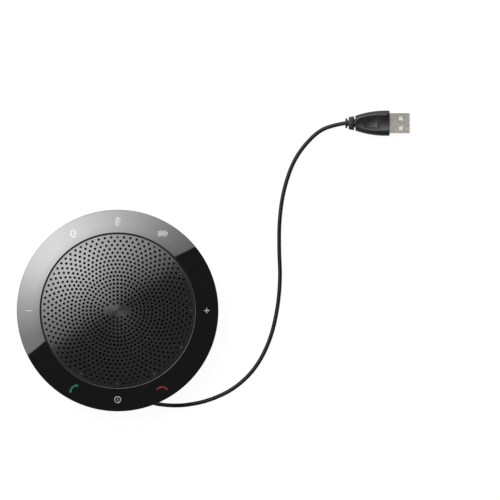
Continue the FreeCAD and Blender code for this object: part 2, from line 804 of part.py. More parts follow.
BATTERY_LOW = "(%s + battery_pad)" % FLOOR_TOP
BATTERY_TOP = "(%s + battery_height)" % BATTERY_LOW
piece(block("battery_foam", "0", "0", FLOOR_TOP, "foam_share * battery_length",
            "foam_share * battery_width", "battery_pad"), "battery_foam")
piece(block("battery", "0", "0", BATTERY_LOW, "battery_length", "battery_width", "battery_height"), "battery")
SOCKET_NEAR = "(battery_length / 2 + lead_length)"
WIRE_LEVEL = "(%s - wire_drop)" % BATTERY_TOP
wires = [bar("battery_wire", "battery_length / 2", across, WIRE_LEVEL, "wire_radius",
             "lead_length") for across in ("-wire_spacing / 2", "wire_spacing / 2")]
piece(group("battery_leads", wires), "battery_leads")
piece(block("battery_socket", "%s + socket_length / 2" % SOCKET_NEAR, "0", "%s - socket_height" % BOARD_LOW,
            "socket_length", "socket_width", "socket_height"), "battery_socket")

# ---- main board ---------------------------------------------------------------------------------

board_blank = turned("board_blank", ring_section("board_inner", "board_radius", BOARD_LOW, BOARD_TOP))
board_holes = round_the_ring(FOUR, "post_angle", lambda index, angle: rod(
    "board_hole", "post_circle", angle, "small_screw_radius + pipe_clearance",
    "%s - overcut" % BOARD_LOW, "board_wall + 2 * overcut"))
piece(cut("board_cut", board_blank, board_holes), "main_board")
piece(group("board_screw_group", round_the_ring(FOUR, "post_angle", lambda index, angle: joined(
    "board_screw", [
        rod("board_screw_head", "post_circle", angle, "small_head_radius", BOARD_TOP, "small_head_height"),
        rod("board_screw_shank", "post_circle", angle, "small_screw_radius",
            "%s - small_screw_length" % BOARD_TOP, "small_screw_length"),
    ]))), "board_screws")
for chip, angle, size in (
    ("processor_chip", "100", "processor_size"),
    ("amplifier_chip", "310", "amplifier_size"),
    ("power_chip", "345", "power_chip_size"),
):
    piece(block(chip, "chip_circle", angle, BOARD_TOP, size, size, "chip_height"), chip)
piece(block("radio_module", "chip_circle", "190", BOARD_TOP, "radio_length", "radio_width", "radio_wall"),
      "radio_module")
piece(block("radio_shield", "chip_circle", "190", "%s + radio_wall" % BOARD_TOP,
            "radio_length - 2 * shield_margin", "radio_width - 2 * shield_margin", "shield_height"),
      "radio_shield")
capacitors = [rod("capacitor", "capacitor_circle", angle, "capacitor_radius", BOARD_TOP, "capacitor_height")
              for angle in ("50", "75", "285", "300")]
piece(group("capacitor_group", capacitors), "capacitors")
piece(block("speaker_socket", "lead_circle", "0", BOARD_TOP, "socket_length", "socket_width",
            "socket_height"), "speaker_socket")

# ---- ribbon from the main board to the touch board ----------------------------------------------

RIBBON_START = "(board_radius - ribbon_bite)"
RIBBON_LOW = "(%s + ribbon_rise)" % BOARD_TOP
RIBBON_HIGH = "(%s + ribbon_rise)" % TOUCH_TOP
RIBBON_END = "(touch_inner + ribbon_tip)"
ribbon = pad("ribbon_cable", "XZ_Plane", [
    (RIBBON_START, RIBBON_LOW),
    ("ribbon_reach", RIBBON_LOW),
    ("ribbon_reach", RIBBON_HIGH),
    (RIBBON_END, RIBBON_HIGH),
    (RIBBON_END, "%s + ribbon_wall" % RIBBON_HIGH),
    ("ribbon_reach - ribbon_wall", "%s + ribbon_wall" % RIBBON_HIGH),
    ("ribbon_reach - ribbon_wall", "%s + ribbon_wall" % RIBBON_LOW),
    (RIBBON_START, "%s + ribbon_wall" % RIBBON_LOW),
], "0", "ribbon_width", True)
ribbon.Placement.Rotation = FreeCAD.Rotation(FreeCAD.Vector(0, 0, 1), number("ribbon_angle"))
piece(ribbon, "ribbon_cable")
sockets = [
    block("ribbon_socket", middle, "ribbon_angle", low, length, "ribbon_socket_width", "ribbon_socket_height")
    for middle, low, length in (
        ("%s - low_socket_length / 2" % RIBBON_START, BOARD_TOP, "low_socket_length"),
        ("%s + high_socket_length / 2" % RIBBON_END, TOUCH_TOP, "high_socket_length"),
    )
]
piece(group("ribbon_sockets", sockets), "ribbon_sockets")

# ---- headset jack -------------------------------------------------------------------------------

JACK_FRONT = "(%s - cord_clearance)" % DRUM_INNER
jack_block = block("jack_block", "%s - jack_length / 2" % JACK_FRONT, "180", FLOOR_TOP, "jack_length",
                   "jack_width", "board_stand")
jack_snout = bar("jack_snout", "%s - overcut" % JACK_FRONT, "0", "jack_axis", "jack_snout",
                 "drum_radius - pipe_clearance - %s + overcut" % JACK_FRONT, "180")
jack_bore = bar("jack_bore_tool", "%s - jack_length + jack_back" % JACK_FRONT, "0", "jack_axis", "jack_bore",
                "jack_length + drum_wall", "180")
piece(cut("jack_cut", joined("jack_solid", [jack_block, jack_snout]), [jack_bore]), "headset_jack")

# ---- driver -------------------------------------------------------------------------------------

piece(turned("speaker_yoke", [
    (POT_OUTER, POT_LOW),
    (POT_OUTER, POT_TOP),
    (POT_INNER, POT_TOP),
    (POT_INNER, "%s + pot_floor" % POT_LOW),
    ("0", "%s + pot_floor" % POT_LOW),
    ("0", POT_LOW),
]), "speaker_yoke")
MAGNET_LOW = "(%s + pot_floor)" % POT_LOW
PLATE_LOW = "(%s - top_plate)" % POT_TOP
piece(rod("magnet_disc", "0", "0", "magnet_radius", MAGNET_LOW, "magnet_height"), "speaker_magnet")
piece(rod("top_plate_disc", "0", "0", "coil_radius - air_gap", PLATE_LOW, "top_plate"), "speaker_top_plate")

LEDGE_TOP = "(%s + ledge_rise)" % POT_TOP
LEDGE_OUT = "(spider_outer + ledge_margin)"
frame_blank = turned("frame_blank", [
    (POT_INNER, POT_TOP),
    ("ledge_radius", POT_TOP),
    ("ledge_radius", "%s - basket_wall" % LEDGE_TOP),
    (LEDGE_OUT, "%s - basket_wall" % LEDGE_TOP),
    ("flange_inner + ledge_margin / 2", COLLAR_TOP),
    ("flange_radius", COLLAR_TOP),
    ("flange_radius", FLANGE_TOP),
    ("flange_inner", FLANGE_TOP),
    ("%s - roll_margin" % LEDGE_OUT, LEDGE_TOP),
    ("ledge_radius - basket_wall", LEDGE_TOP),
    ("ledge_radius - basket_wall", "%s + basket_wall" % POT_TOP),
    (POT_INNER, "%s + basket_wall" % POT_TOP),
])
frame_cuts = round_the_ring(FOUR, "45", lambda index, angle: rod(
    "flange_hole", "driver_screws", angle, "small_screw_radius + pipe_clearance", COLLAR_TOP,
    "2 * basket_wall"))
frame_cuts += round_the_ring(HOUSING_SCREWS, "0", lambda index, angle: block(
    "basket_window", "(%s + flange_inner) / 2" % LEDGE_OUT, angle, POT_TOP,
    "window_share * (flange_inner - %s)" % LEDGE_OUT, "window_width", "window_width"))
piece(cut("frame_cut", frame_blank, frame_cuts), "speaker_frame")
piece(group("driver_screw_group", round_the_ring(FOUR, "45", lambda index, angle: joined("driver_screw", [
    rod("driver_screw_head", "driver_screws", angle, "small_head_radius", FLANGE_TOP, "small_head_height"),
    rod("driver_screw_shank", "driver_screws", angle, "small_screw_radius",
        "%s - small_screw_length" % FLANGE_TOP, "small_screw_length"),
]))), "driver_screws")
piece(turned("speaker_gasket", ring_section(
    "flange_inner + gasket_start", "driver_screws - small_head_radius - roll_margin", FLANGE_TOP,
    "%s + gasket_height" % FLANGE_TOP)), "speaker_gasket")

ROLL_OUT = "(flange_inner + roll_start)"
ROLL_FOOT = "(%s + pipe_clearance)" % FLANGE_TOP
ROLL_SEAT = "(cone_high + cone_wall + pipe_clearance)"
piece(turned("speaker_surround", [
    (ROLL_OUT, ROLL_FOOT),
    (ROLL_OUT, "%s + cone_wall" % ROLL_FOOT),
    ("flange_inner + roll_margin", "%s + cone_wall" % ROLL_FOOT, "roll_radius + cone_wall"),
    ("roll_inner + roll_margin", "%s + cone_wall" % ROLL_SEAT),
    ("roll_inner - cone_overlap", "%s + cone_wall" % ROLL_SEAT),
    ("roll_inner - cone_overlap", ROLL_SEAT),
    ("roll_inner + roll_margin + cone_wall", ROLL_SEAT, "-roll_radius"),
    ("flange_inner - roll_margin", ROLL_FOOT),
]), "speaker_surround")

piece(turned("speaker_cone", [
    ("cone_neck", "cone_low"),
    ("roll_inner", "cone_high"),
    ("roll_inner", "cone_high + cone_wall"),
    ("cone_neck", "cone_low + cone_wall"),
]), "speaker_cone")
CAP_OUT = "(cone_neck + cap_margin)"
CONE_SLOPE = "((cone_high - cone_low) / (roll_inner - cone_neck))"
CAP_FOOT = "(cone_low + cone_wall + cap_margin * %s)" % CONE_SLOPE
CAP_RADIUS = "((%s ^ 2 + cap_rise ^ 2) / (2 * cap_rise))" % CAP_OUT
CAP_INNER = "sqrt((%s - cone_wall) ^ 2 - (%s - cap_rise) ^ 2)" % (CAP_RADIUS, CAP_RADIUS)
piece(turned("dust_cap", [
    (CAP_OUT, CAP_FOOT, CAP_RADIUS),
    ("0", "%s + cap_rise" % CAP_FOOT),
    ("0", "%s + cap_rise - cone_wall" % CAP_FOOT, "-(%s - cone_wall)" % CAP_RADIUS),
    (CAP_INNER, CAP_FOOT),
]), "dust_cap")
FORMER_TOP = "(cone_low + cone_wall)"
piece(turned("coil_former", ring_section("coil_radius", FORMER_OUTER, "%s - former_length" % FORMER_TOP,
                                         FORMER_TOP)), "coil_former")
WINDING_MIDDLE = "(%s - top_plate / 2)" % POT_TOP
piece(turned("voice_coil", ring_section(
    FORMER_OUTER, WINDING_OUTER, "%s - winding_height / 2" % WINDING_MIDDLE,
    "%s + winding_height / 2" % WINDING_MIDDLE)), "voice_coil")
SPIDER_LOW = "(%s + pipe_clearance)" % LEDGE_TOP
SPIDER_NECK = "(%s + pipe_clearance)" % FORMER_OUTER
piece(turned("speaker_spider", [
    ("spider_outer - spider_land", SPIDER_LOW),
    ("spider_outer", SPIDER_LOW),
    ("spider_outer", "%s + spider_wall" % SPIDER_LOW),
    ("spider_outer - spider_land", "%s + spider_wall" % SPIDER_LOW),
    ("%s + spider_neck" % FORMER_OUTER, "%s + spider_arch + spider_wall" % SPIDER_LOW),
    (SPIDER_NECK, "%s + spider_arch + spider_wall" % SPIDER_LOW),
    (SPIDER_NECK, "%s + spider_arch" % SPIDER_LOW),
    ("%s + spider_neck" % FORMER_OUTER, "%s + spider_arch" % SPIDER_LOW),
]), "speaker_spider")
TERMINAL_LOW = "(%s - basket_wall - terminal_height)" % LEDGE_TOP
piece(block("terminal_strip", "(ledge_radius + %s + roll_margin) / 2" % LEDGE_OUT, "0", TERMINAL_LOW,
            "%s - ledge_radius - roll_margin" % LEDGE_OUT, "terminal_width", "terminal_height"),
      "speaker_terminals")
SPEAKER_SOCKET_TOP = "(%s + socket_height)" % BOARD_TOP
leads = [rod("speaker_wire", "lead_circle", angle, "wire_radius", SPEAKER_SOCKET_TOP,
             "%s - %s" % (TERMINAL_LOW, SPEAKER_SOCKET_TOP)) for angle in ("-lead_angle", "lead_angle")]
piece(group("speaker_leads", leads), "speaker_leads")

# ---- microphone ---------------------------------------------------------------------------------

boot = rod("boot_outer", "mic_circle", "mic_angle", "mic_radius + mic_boot_wall", DECK,
           "%s - %s - grille_gap" % (dome("mic_circle + mic_radius", "grille_wall"), DECK))
boot_bore = rod("boot_bore", "mic_circle", "mic_angle", "mic_radius", "%s + mic_boot_wall" % DECK,
                "dome_apex")
piece(cut("boot_cut", boot, [boot_bore]), "microphone_boot")
piece(rod("mic_capsule", "mic_circle", "mic_angle", "mic_radius", "%s + mic_boot_wall" % DECK, "mic_height"),
      "microphone")

# ---- cord: grommet, inner tail, winding and free run --------------------------------------------

CORD_LEVEL = "(cover_top + grommet_height / 2)"
TAIL_END = "(board_radius + cord_clearance)"
GROMMET_SEAT = "(%s - cord_clearance)" % DRUM_INNER
grommet = joined("grommet_solid", [
    block("grommet_body", "(drum_radius + %s) / 2" % GROMMET_SEAT, "grommet_angle", "cover_top",
          "drum_radius - %s" % GROMMET_SEAT, "grommet_width", "grommet_height"),
    block("grommet_collar", "%s - grommet_flange / 2" % GROMMET_SEAT, "grommet_angle", "cover_top",
          "grommet_flange", "grommet_width + 2 * overcut", "grommet_height + overcut"),
])
piece(grommet, "cord_grommet")
piece(bar("cord_tail", TAIL_END, "0", CORD_LEVEL, "cord_diameter / 2",
          "%s - grommet_flange - %s" % (GROMMET_SEAT, TAIL_END), "grommet_angle"), "cord_tail")
piece(block("cord_socket", "%s - socket_length / 2" % TAIL_END, "grommet_angle", BOARD_TOP, "socket_length",
            "socket_width", "socket_height"), "cord_socket")

COIL_INNER = "(drum_radius + cord_clearance)"
piece(turned("cord_winding", ring_section(COIL_INNER, "%s + cord_diameter" % COIL_INNER,
                                          "cover_top + cord_clearance",
                                          "%s - cord_clearance" % GROOVE_TOP)), "cord_winding")


def cord_path(points):
    """Straight runs with a tangent arc at each point, as large as the runs beside it allow."""
    edges, radii, start = [], [], points[0]
    for before, corner, after in zip(points, points[1:], points[2:]):
        incoming, outgoing = corner - before, after - corner
        half_turn = incoming.getAngle(outgoing) / 2
        reach = ARC_SHARE * min(incoming.Length, outgoing.Length)
        radii.append(reach / math.tan(half_turn))
        arc_start = corner - incoming.normalize() * reach
        arc_end = corner + outgoing.normalize() * reach
        towards = (arc_start + arc_end) * 0.5 - corner
        sagitta = radii[-1] / math.cos(half_turn) - radii[-1]
        middle = corner + towards.normalize() * sagitta
        edges.append(Part.LineSegment(start, arc_start).toShape())
        edges.append(Part.Arc(arc_start, middle, arc_end).toShape())
        start = arc_end
    edges.append(Part.LineSegment(start, points[-1]).toShape())
    return Part.Wire(edges), radii


cord_wire, cord_radii = cord_path([FreeCAD.Vector(*point) for point in CORD_ROUTE])
first_run = FreeCAD.Vector(*CORD_ROUTE[1]) - FreeCAD.Vector(*CORD_ROUTE[0])
cord_circle = Part.Circle(FreeCAD.Vector(*CORD_ROUTE[0]), first_run, number("cord_diameter") / 2)
cord_run = doc.addObject("Part::Feature", "cord_run")
cord_run.Shape = cord_wire.makePipeShell([Part.Wire([cord_circle.toShape()])], True, False)
piece(cord_run, "cord_run")
section = math.pi * (number("cord_diameter") / 2) ** 2
print("cord run %.1f mm long, volume %.1f of %.1f mm3, smallest bend radius %.1f mm" % (
    cord_wire.Length, cord_run.Shape.Volume, section * cord_wire.Length, min(cord_radii)))
print("cord bend radii: " + " ".join("%.0f" % radius for radius in cord_radii))

# ---- plug ---------------------------------------------------------------------------------------

PLUG_AXIS = "(plug_height / 2)"
RIB_END = "(plug_back - rib_gap)"
RIB_BACK = "(%s - rib_length)" % RIB_END
END_RIB_END = "(%s - rib_gap)" % RIB_BACK
END_RIB_BACK = "(%s - end_rib_length)" % END_RIB_END
PLUG_FRONT = "(plug_back + plug_length)"


def plug_block(name, start, length, width, height, level=PLUG_AXIS):
    """A box on the plug's axis."""
    box = doc.addObject("Part::Box", name)
    bind(
        box,
        Length=length,
        Width=width,
        Height=height,
        Placement__Base__x=start,
        Placement__Base__y="plug_middle - (%s) / 2" % width,
        Placement__Base__z="%s - (%s) / 2" % (level, height),
    )
    return box


# The curved sides run on into the straight ones without a corner.
PLUG_SWELL = "((plug_width - plug_neck_width) / 2)"
PLUG_SIDE = "((plug_shoulder ^ 2 + %s ^ 2) / (2 * %s))" % (PLUG_SWELL, PLUG_SWELL)
overmould = pad("overmould_blank", "XY_Plane", [
    ("plug_back", "plug_middle - plug_neck_width / 2", PLUG_SIDE),
    ("plug_back + plug_shoulder", "plug_middle - plug_width / 2"),
    (PLUG_FRONT, "plug_middle - plug_width / 2"),
    (PLUG_FRONT, "plug_middle + plug_width / 2"),
    ("plug_back + plug_shoulder", "plug_middle + plug_width / 2", PLUG_SIDE),
    ("plug_back", "plug_middle + plug_neck_width / 2"),
], "0", "plug_height")
doc.recompute()
overmould_pad = overmould.Tip
flat_edges = [
    "Edge%d" % count for count, edge in enumerate(overmould_pad.Shape.Edges, start=1)
    if edge.BoundBox.ZLength < number("plug_round")
]
rounded = overmould.newObject("PartDesign::Fillet", "overmould_round")
rounded.Base = (overmould_pad, flat_edges)
bind(rounded, Radius="plug_round")
overmould.Tip = rounded
piece(joined("plug_solid", [
    overmould,
    bar("plug_neck", END_RIB_BACK, "plug_middle", PLUG_AXIS, "neck_radius",
        "plug_back + overcut - %s" % END_RIB_BACK),
    bar("plug_root", RIB_BACK, "plug_middle", PLUG_AXIS, "root_radius",
        "plug_back + overcut - %s" % RIB_BACK),
    plug_block("rib", RIB_BACK, "rib_length", "rib_width", "plug_height - 2 * plug_round"),
    plug_block("end_rib", END_RIB_BACK, "end_rib_length", "end_rib_width", "plug_height - 3 * plug_round"),
]), "plug_overmould")
shell_outer = plug_block("shell_outer", PLUG_FRONT, "shell_length", "shell_width", "shell_height")
shell_inner = plug_block("shell_inner", "%s - overcut" % PLUG_FRONT, "shell_length + 2 * overcut",
                         "shell_width - 2 * shell_wall", "shell_height - 2 * shell_wall")
shell_windows = []
for side in (-1, 1):
    window = doc.addObject("Part::Box", "shell_window")
    bind(
        window,
        Length="shell_window",
        Width="shell_window",
        Height="shell_height + 2 * overcut",
        Placement__Base__x="%s + shell_window_start" % PLUG_FRONT,
        Placement__Base__y="plug_middle + %d * shell_window_side - shell_window / 2" % side,
        Placement__Base__z="%s - shell_height / 2 - overcut" % PLUG_AXIS,
    )
    shell_windows.append(window)
piece(cut("shell_cut", shell_outer, [shell_inner] + shell_windows), "plug_shell")
TONGUE_LEVEL = "(%s + shell_height / 2 - shell_wall - tongue_wall / 2)" % PLUG_AXIS
piece(plug_block("plug_tongue", PLUG_FRONT, "shell_length - 2 * shell_wall", "shell_width - 2 * shell_wall",
                 "tongue_wall", TONGUE_LEVEL), "plug_tongue")
contacts = []
for index in range(PLUG_CONTACTS):
    contact = doc.addObject("Part::Box", "plug_contact")
    bind(
        contact,
        Length="contact_length",
        Width="contact_width",
        Height="contact_wall",
        Placement__Base__x="%s + contact_start" % PLUG_FRONT,
        Placement__Base__y="plug_middle + %s * contact_pitch - contact_width / 2" % (index - 1.5),
        Placement__Base__z="%s - tongue_wall / 2 - contact_wall" % TONGUE_LEVEL,
    )
    contacts.append(contact)
piece(group("plug_contact_group", contacts), "plug_contacts")

# ---- checks and files ---------------------------------------------------------------------------

doc.recompute()
for item in doc.Objects:
    if "Invalid" in item.State or "Error" in item.State:
        raise RuntimeError("%s is in state %s" % (item.Label, item.State))
os.makedirs("parts", exist_ok=True)
for item in pieces:
    if item.Shape.isNull() or not item.Shape.isValid() or not item.Shape.Solids:
        raise RuntimeError("%s has no sound solid" % item.Label)
for item in pieces:
    item.Shape.exportStep("parts/%s.step" % item.Label)
    box = item.Shape.BoundBox
    print("%-18s solids %3d  volume %9.1f  x %7.2f %7.2f  y %7.2f %7.2f  z %6.2f %6.2f" % (
        item.Label, len(item.Shape.Solids), item.Shape.Volume,
        box.XMin, box.XMax, box.YMin, box.YMax, box.ZMin, box.ZMax))
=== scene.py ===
import math

import bpy
from mathutils import Matrix, Vector


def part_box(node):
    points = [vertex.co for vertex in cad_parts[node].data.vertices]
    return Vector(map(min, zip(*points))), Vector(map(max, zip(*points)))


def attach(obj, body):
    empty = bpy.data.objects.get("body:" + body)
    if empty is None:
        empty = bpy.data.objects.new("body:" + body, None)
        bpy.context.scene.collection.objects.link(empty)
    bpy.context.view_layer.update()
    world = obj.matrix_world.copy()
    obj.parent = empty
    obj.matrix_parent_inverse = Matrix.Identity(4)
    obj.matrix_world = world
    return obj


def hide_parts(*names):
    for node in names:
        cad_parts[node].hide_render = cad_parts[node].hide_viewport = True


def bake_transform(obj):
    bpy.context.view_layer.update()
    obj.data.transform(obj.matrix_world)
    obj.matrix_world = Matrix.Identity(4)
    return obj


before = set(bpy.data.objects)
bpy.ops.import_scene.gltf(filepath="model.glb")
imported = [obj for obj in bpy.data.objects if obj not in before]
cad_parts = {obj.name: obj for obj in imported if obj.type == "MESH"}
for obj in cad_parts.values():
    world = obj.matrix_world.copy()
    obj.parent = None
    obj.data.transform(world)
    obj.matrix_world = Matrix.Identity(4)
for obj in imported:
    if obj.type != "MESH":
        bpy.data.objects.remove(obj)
bpy.ops.object.select_all(action="DESELECT")
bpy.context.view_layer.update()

# ==== camera ======================================================================================
# A camera straight above, square to the table. Its view takes in the disc at the lower left and the
# plug at the right, and shows no perspective.

VIEW_WIDTH = 0.2975
VIEW_MIDDLE = (0.07876, 0.03604)
CAMERA_HEIGHT = 0.8

lens = bpy.data.cameras.new("overhead_camera")
lens.type = "ORTHO"
lens.ortho_scale = VIEW_WIDTH
camera = bpy.data.objects.new("overhead_camera", lens)
camera.location = (*VIEW_MIDDLE, CAMERA_HEIGHT)
bpy.context.scene.collection.objects.link(camera)
bpy.context.scene.camera = camera
bpy.context.scene.view_settings.view_transform = "Standard"

# ==== cord ========================================================================================
# A captive cord, 2.4 mm thick, sleeved in extruded thermoplastic elastomer. It leaves the base through
# its grommet, is wound twice round the groove under the disc, and runs loose over the table to its plug.

MM = 0.001
CORD_THICKNESS = 2.4 * MM
GROMMET_ANGLE = -134
LEAVING_ANGLE = -109
WOUND_DEGREES = 720 + LEAVING_ANGLE - GROMMET_ANGLE
WINDING_STEP = 15
WINDING_RADIUS = 45.75
FIRST_LEVEL, LAST_LEVEL = 10.8, 15.8

# From inside the grommet on to the drum: radius, degrees past the grommet, height.
CORD_START = [(42.6, 0, 10.7), (43.8, 0.6, 10.7), (45.0, 3.5, 10.7)]
# The free stretch, from the winding to the plug.
CORD_ROUTE = [
    (-14.8, -43.1, 15.8),
    (-2.5, -47.4, 15.6),
    (9.0, -51.6, 14.2),
    (20.5, -55.2, 9.8),
    (31.0, -56.6, 4.0),
    (41.5, -56.3, 1.2),
    (55.0, -53.4, 1.2),
    (69.5, -46.6, 1.2),
    (82.0, -34.8, 1.2),
    (90.5, -18.6, 1.2),
    (95.0, -0.5, 1.2),
    (96.9, 18.5, 1.2),
    (96.0, 37.0, 1.2),
    (96.2, 54.5, 1.2),
    (98.8, 72.5, 1.2),
    (105.3, 91.0, 1.2),
    (116.8, 104.8, 1.2),
    (126.0, 110.0, 2.2),
    (135.4, 111.5, 3.9),
]


def tone(code):
    """A linear colour from its sRGB hex value."""
    levels = [int(code[place:place + 2], 16) / 255 for place in (1, 3, 5)]
    return tuple(v / 12.92 if v <= 0.04045 else ((v + 0.055) / 1.055) ** 2.4 for v in levels) + (1.0,)


def add(tree, kind, links=None, **settings):
    """Adds a node with its settings; links gives each input a value or another node's output."""
    node = tree.nodes.new(kind)
    for name, value in settings.items():
        setattr(node, name, value)
    for name, value in (links or {}).items():
        if isinstance(value, bpy.types.NodeSocket):
            tree.links.new(value, node.inputs[name])
        else:
            node.inputs[name].default_value = value
    return node


def finish(name, colour, roughness, **values):
    """A material of one finish. The other values are the shader's sockets, spaces as underscores."""
    made = bpy.data.materials.new(name)
    made.use_nodes = True
    shader = made.node_tree.nodes["Principled BSDF"]
    shader.inputs["Base Color"].default_value = tone(colour)
    shader.inputs["Roughness"].default_value = roughness
    for socket, value in values.items():
        shader.inputs[socket.replace("_", " ")].default_value = value
    return made


def grained(material, grain, depth, mottle=0.0, wear=0.0, stretch=(1, 1, 1)):
    """Gives a finish its grain: bumps of a real size and depth, and slow changes of shade and gloss."""
    tree = material.node_tree
    shader = tree.nodes["Principled BSDF"]
    place = add(tree, "ShaderNodeTexCoord").outputs["Object"]
    drawn = add(tree, "ShaderNodeMapping", {"Vector": place, "Scale": stretch}).outputs["Vector"]
    fine = add(tree, "ShaderNodeTexNoise", {"Vector": drawn, "Scale": 1 / grain, "Detail": 3.0})
    bump = add(tree, "ShaderNodeBump", {"Height": fine.outputs["Fac"], "Strength": 1.0, "Distance": depth})
    tree.links.new(bump.outputs["Normal"], shader.inputs["Normal"])
    slow = add(tree, "ShaderNodeTexNoise", {"Vector": place, "Scale": 90.0, "Detail": 4.0})
    if mottle:
        colour = tuple(shader.inputs["Base Color"].default_value)
        paler = tuple(min(1.0, level * (1 + mottle)) for level in colour[:3]) + (1.0,)
        darker = tuple(level * (1 - mottle) for level in colour[:3]) + (1.0,)
        shade = add(tree, "ShaderNodeMix", data_type="RGBA")
        tree.links.new(slow.outputs["Fac"], shade.inputs["Factor"])
        shade.inputs["A"].default_value = darker
        shade.inputs["B"].default_value = paler
        tree.links.new(shade.outputs["Result"], shader.inputs["Base Color"])
    if wear:
        level = shader.inputs["Roughness"].default_value
        gloss = add(tree, "ShaderNodeMapRange", {
            "Value": slow.outputs["Fac"], "To Min": level - wear, "To Max": level + wear})
        tree.links.new(gloss.outputs["Result"], shader.inputs["Roughness"])
    return material


def on_winding(radius, degrees, height):
    turn = math.radians(GROMMET_ANGLE + degrees)
    return Vector((radius * math.cos(turn), radius * math.sin(turn), height)) * MM


cord_points = [on_winding(*step) for step in CORD_START]
for degrees in range(9, WOUND_DEGREES, WINDING_STEP):
    level = FIRST_LEVEL + (LAST_LEVEL - FIRST_LEVEL) * degrees / WOUND_DEGREES
    cord_points.append(on_winding(WINDING_RADIUS, degrees, level))
cord_points += [Vector(point) * MM for point in CORD_ROUTE]

cord_curve = bpy.data.curves.new("cord", "CURVE")
cord_curve.dimensions = "3D"
strand = cord_curve.splines.new("NURBS")
strand.points.add(len(cord_points) - 1)
for control, point in zip(strand.points, cord_points):
    control.co = (*point, 1)
strand.order_u = 3
strand.use_endpoint_u = True
strand.resolution_u = 8
cord_curve.bevel_depth = CORD_THICKNESS / 2
cord_curve.bevel_resolution = 8
cord_curve.use_fill_caps = True
cord = bpy.data.objects.new("cord", cord_curve)
bpy.context.scene.collection.objects.link(cord)

# Thermoplastic elastomer, extruded: black and smooth, with a soft sheen that breaks up a little.
elastomer = grained(finish("extruded_black_elastomer", "#050506", 0.24, IOR=1.5, Specular_IOR_Level=0.32),
                    0.35 * MM, 0.002 * MM, mottle=0.25, wear=0.03)
cord_curve.materials.append(elastomer)
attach(cord, "root")
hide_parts("cord_run", "cord_winding")

# ==== plug ========================================================================================
# A flat plug: PVC moulded over the cord's end in one shot, with two ribs that let the cord bend, and
# a shell of folded, nickel-plated steel round a white insulator with four gold-plated contacts.

PLUG_AXIS = Vector((141.4, 111.5, 3.9)) * MM
PLUG_LENGTH = 20.4 * MM
PLUG_WIDTH = 15.1 * MM
PLUG_NECK = 8.9 * MM
PLUG_THICKNESS = 7.8 * MM
SHOULDER_LENGTH = 18.0 * MM
SHOULDER_STEPS = 12
SIDE_ROUND = 2.2 * MM


def begin(name):
    """Names the primitive just added and leaves it ready for edit mode."""
    made = bpy.context.object
    made.name = name
    made.data.name = name
    bpy.ops.object.transform_apply(location=True, rotation=True, scale=True)
    return made


def end(made, bevel=0.0, segments=3, smooth=35):
    """Closes a piece: consistent normals, rounded edges and smooth shading."""
    bpy.ops.object.select_all(action="DESELECT")
    made.select_set(True)
    bpy.context.view_layer.objects.active = made
    bpy.ops.object.mode_set(mode="EDIT")
    bpy.ops.mesh.select_all(action="SELECT")
    bpy.ops.mesh.remove_doubles(threshold=0.001 * MM)
    bpy.ops.mesh.normals_make_consistent(inside=False)
    bpy.ops.object.mode_set(mode="OBJECT")
    if bevel:
        rounded = made.modifiers.new("rounded", "BEVEL")
        rounded.width = bevel
        rounded.segments = segments
        rounded.limit_method = "ANGLE"
        rounded.angle_limit = math.radians(smooth)
        rounded.use_clamp_overlap = True
        bpy.ops.object.modifier_apply(modifier=rounded.name)
    bpy.ops.object.shade_smooth_by_angle(angle=math.radians(smooth))
    return made


def boolean(made, other, operation="DIFFERENCE", solver="EXACT"):
    """Cuts another piece out of one, or joins the two, and removes the other."""
    bpy.ops.object.select_all(action="DESELECT")
    made.select_set(True)
    bpy.context.view_layer.objects.active = made
    step = made.modifiers.new("step", "BOOLEAN")
    step.object = other
    step.operation = operation
    step.solver = solver
    bpy.ops.object.modifier_apply(modifier=step.name)
    made.data.materials.clear()
    bpy.data.objects.remove(other)
    return made


def block(name, low, high):
    """A box between two corners."""
    size = Vector(high) - Vector(low)
    bpy.ops.object.select_all(action="DESELECT")
    bpy.ops.mesh.primitive_cube_add(size=1, location=(Vector(low) + Vector(high)) / 2, scale=size)
    return begin(name)


def join(name, members):
    """Several pieces as one mesh."""
    bpy.ops.object.select_all(action="DESELECT")
    for member in members:
        member.select_set(True)
    bpy.context.view_layer.objects.active = members[0]
    bpy.ops.object.join()
    members[0].name = name
    members[0].data.name = name
    return members[0]


def drawn_forward(name, slices, thickness, middle):
    """A solid drawn along the plug's axis through slices, each with its place and its width."""
    x, width = slices[0]
    first = slices[1][0]
    made = block(name, (x, PLUG_AXIS.y - width / 2, middle - thickness / 2),
                 (first, PLUG_AXIS.y + width / 2, middle + thickness / 2))
    for face in made.data.polygons:
        face.select = face.normal.x > 0.9
    for edge in made.data.edges:
        edge.select = all(made.data.vertices[corner].co.x > (x + first) / 2 for corner in edge.vertices)
    for corner in made.data.vertices:
        corner.select = corner.co.x > (x + first) / 2
    bpy.ops.object.mode_set(mode="EDIT")
    bpy.ops.mesh.select_mode(type="FACE")
    x = first
    for step, (new_x, new_width) in enumerate(slices[1:]):
        if step:
            bpy.ops.mesh.extrude_region_move(TRANSFORM_OT_translate={"value": (new_x - x, 0, 0)})
        bpy.ops.transform.resize(value=(1, new_width / width, 1), center_override=(new_x, *PLUG_AXIS.yz))
        x, width = new_x, new_width
    bpy.ops.object.mode_set(mode="OBJECT")
    return made


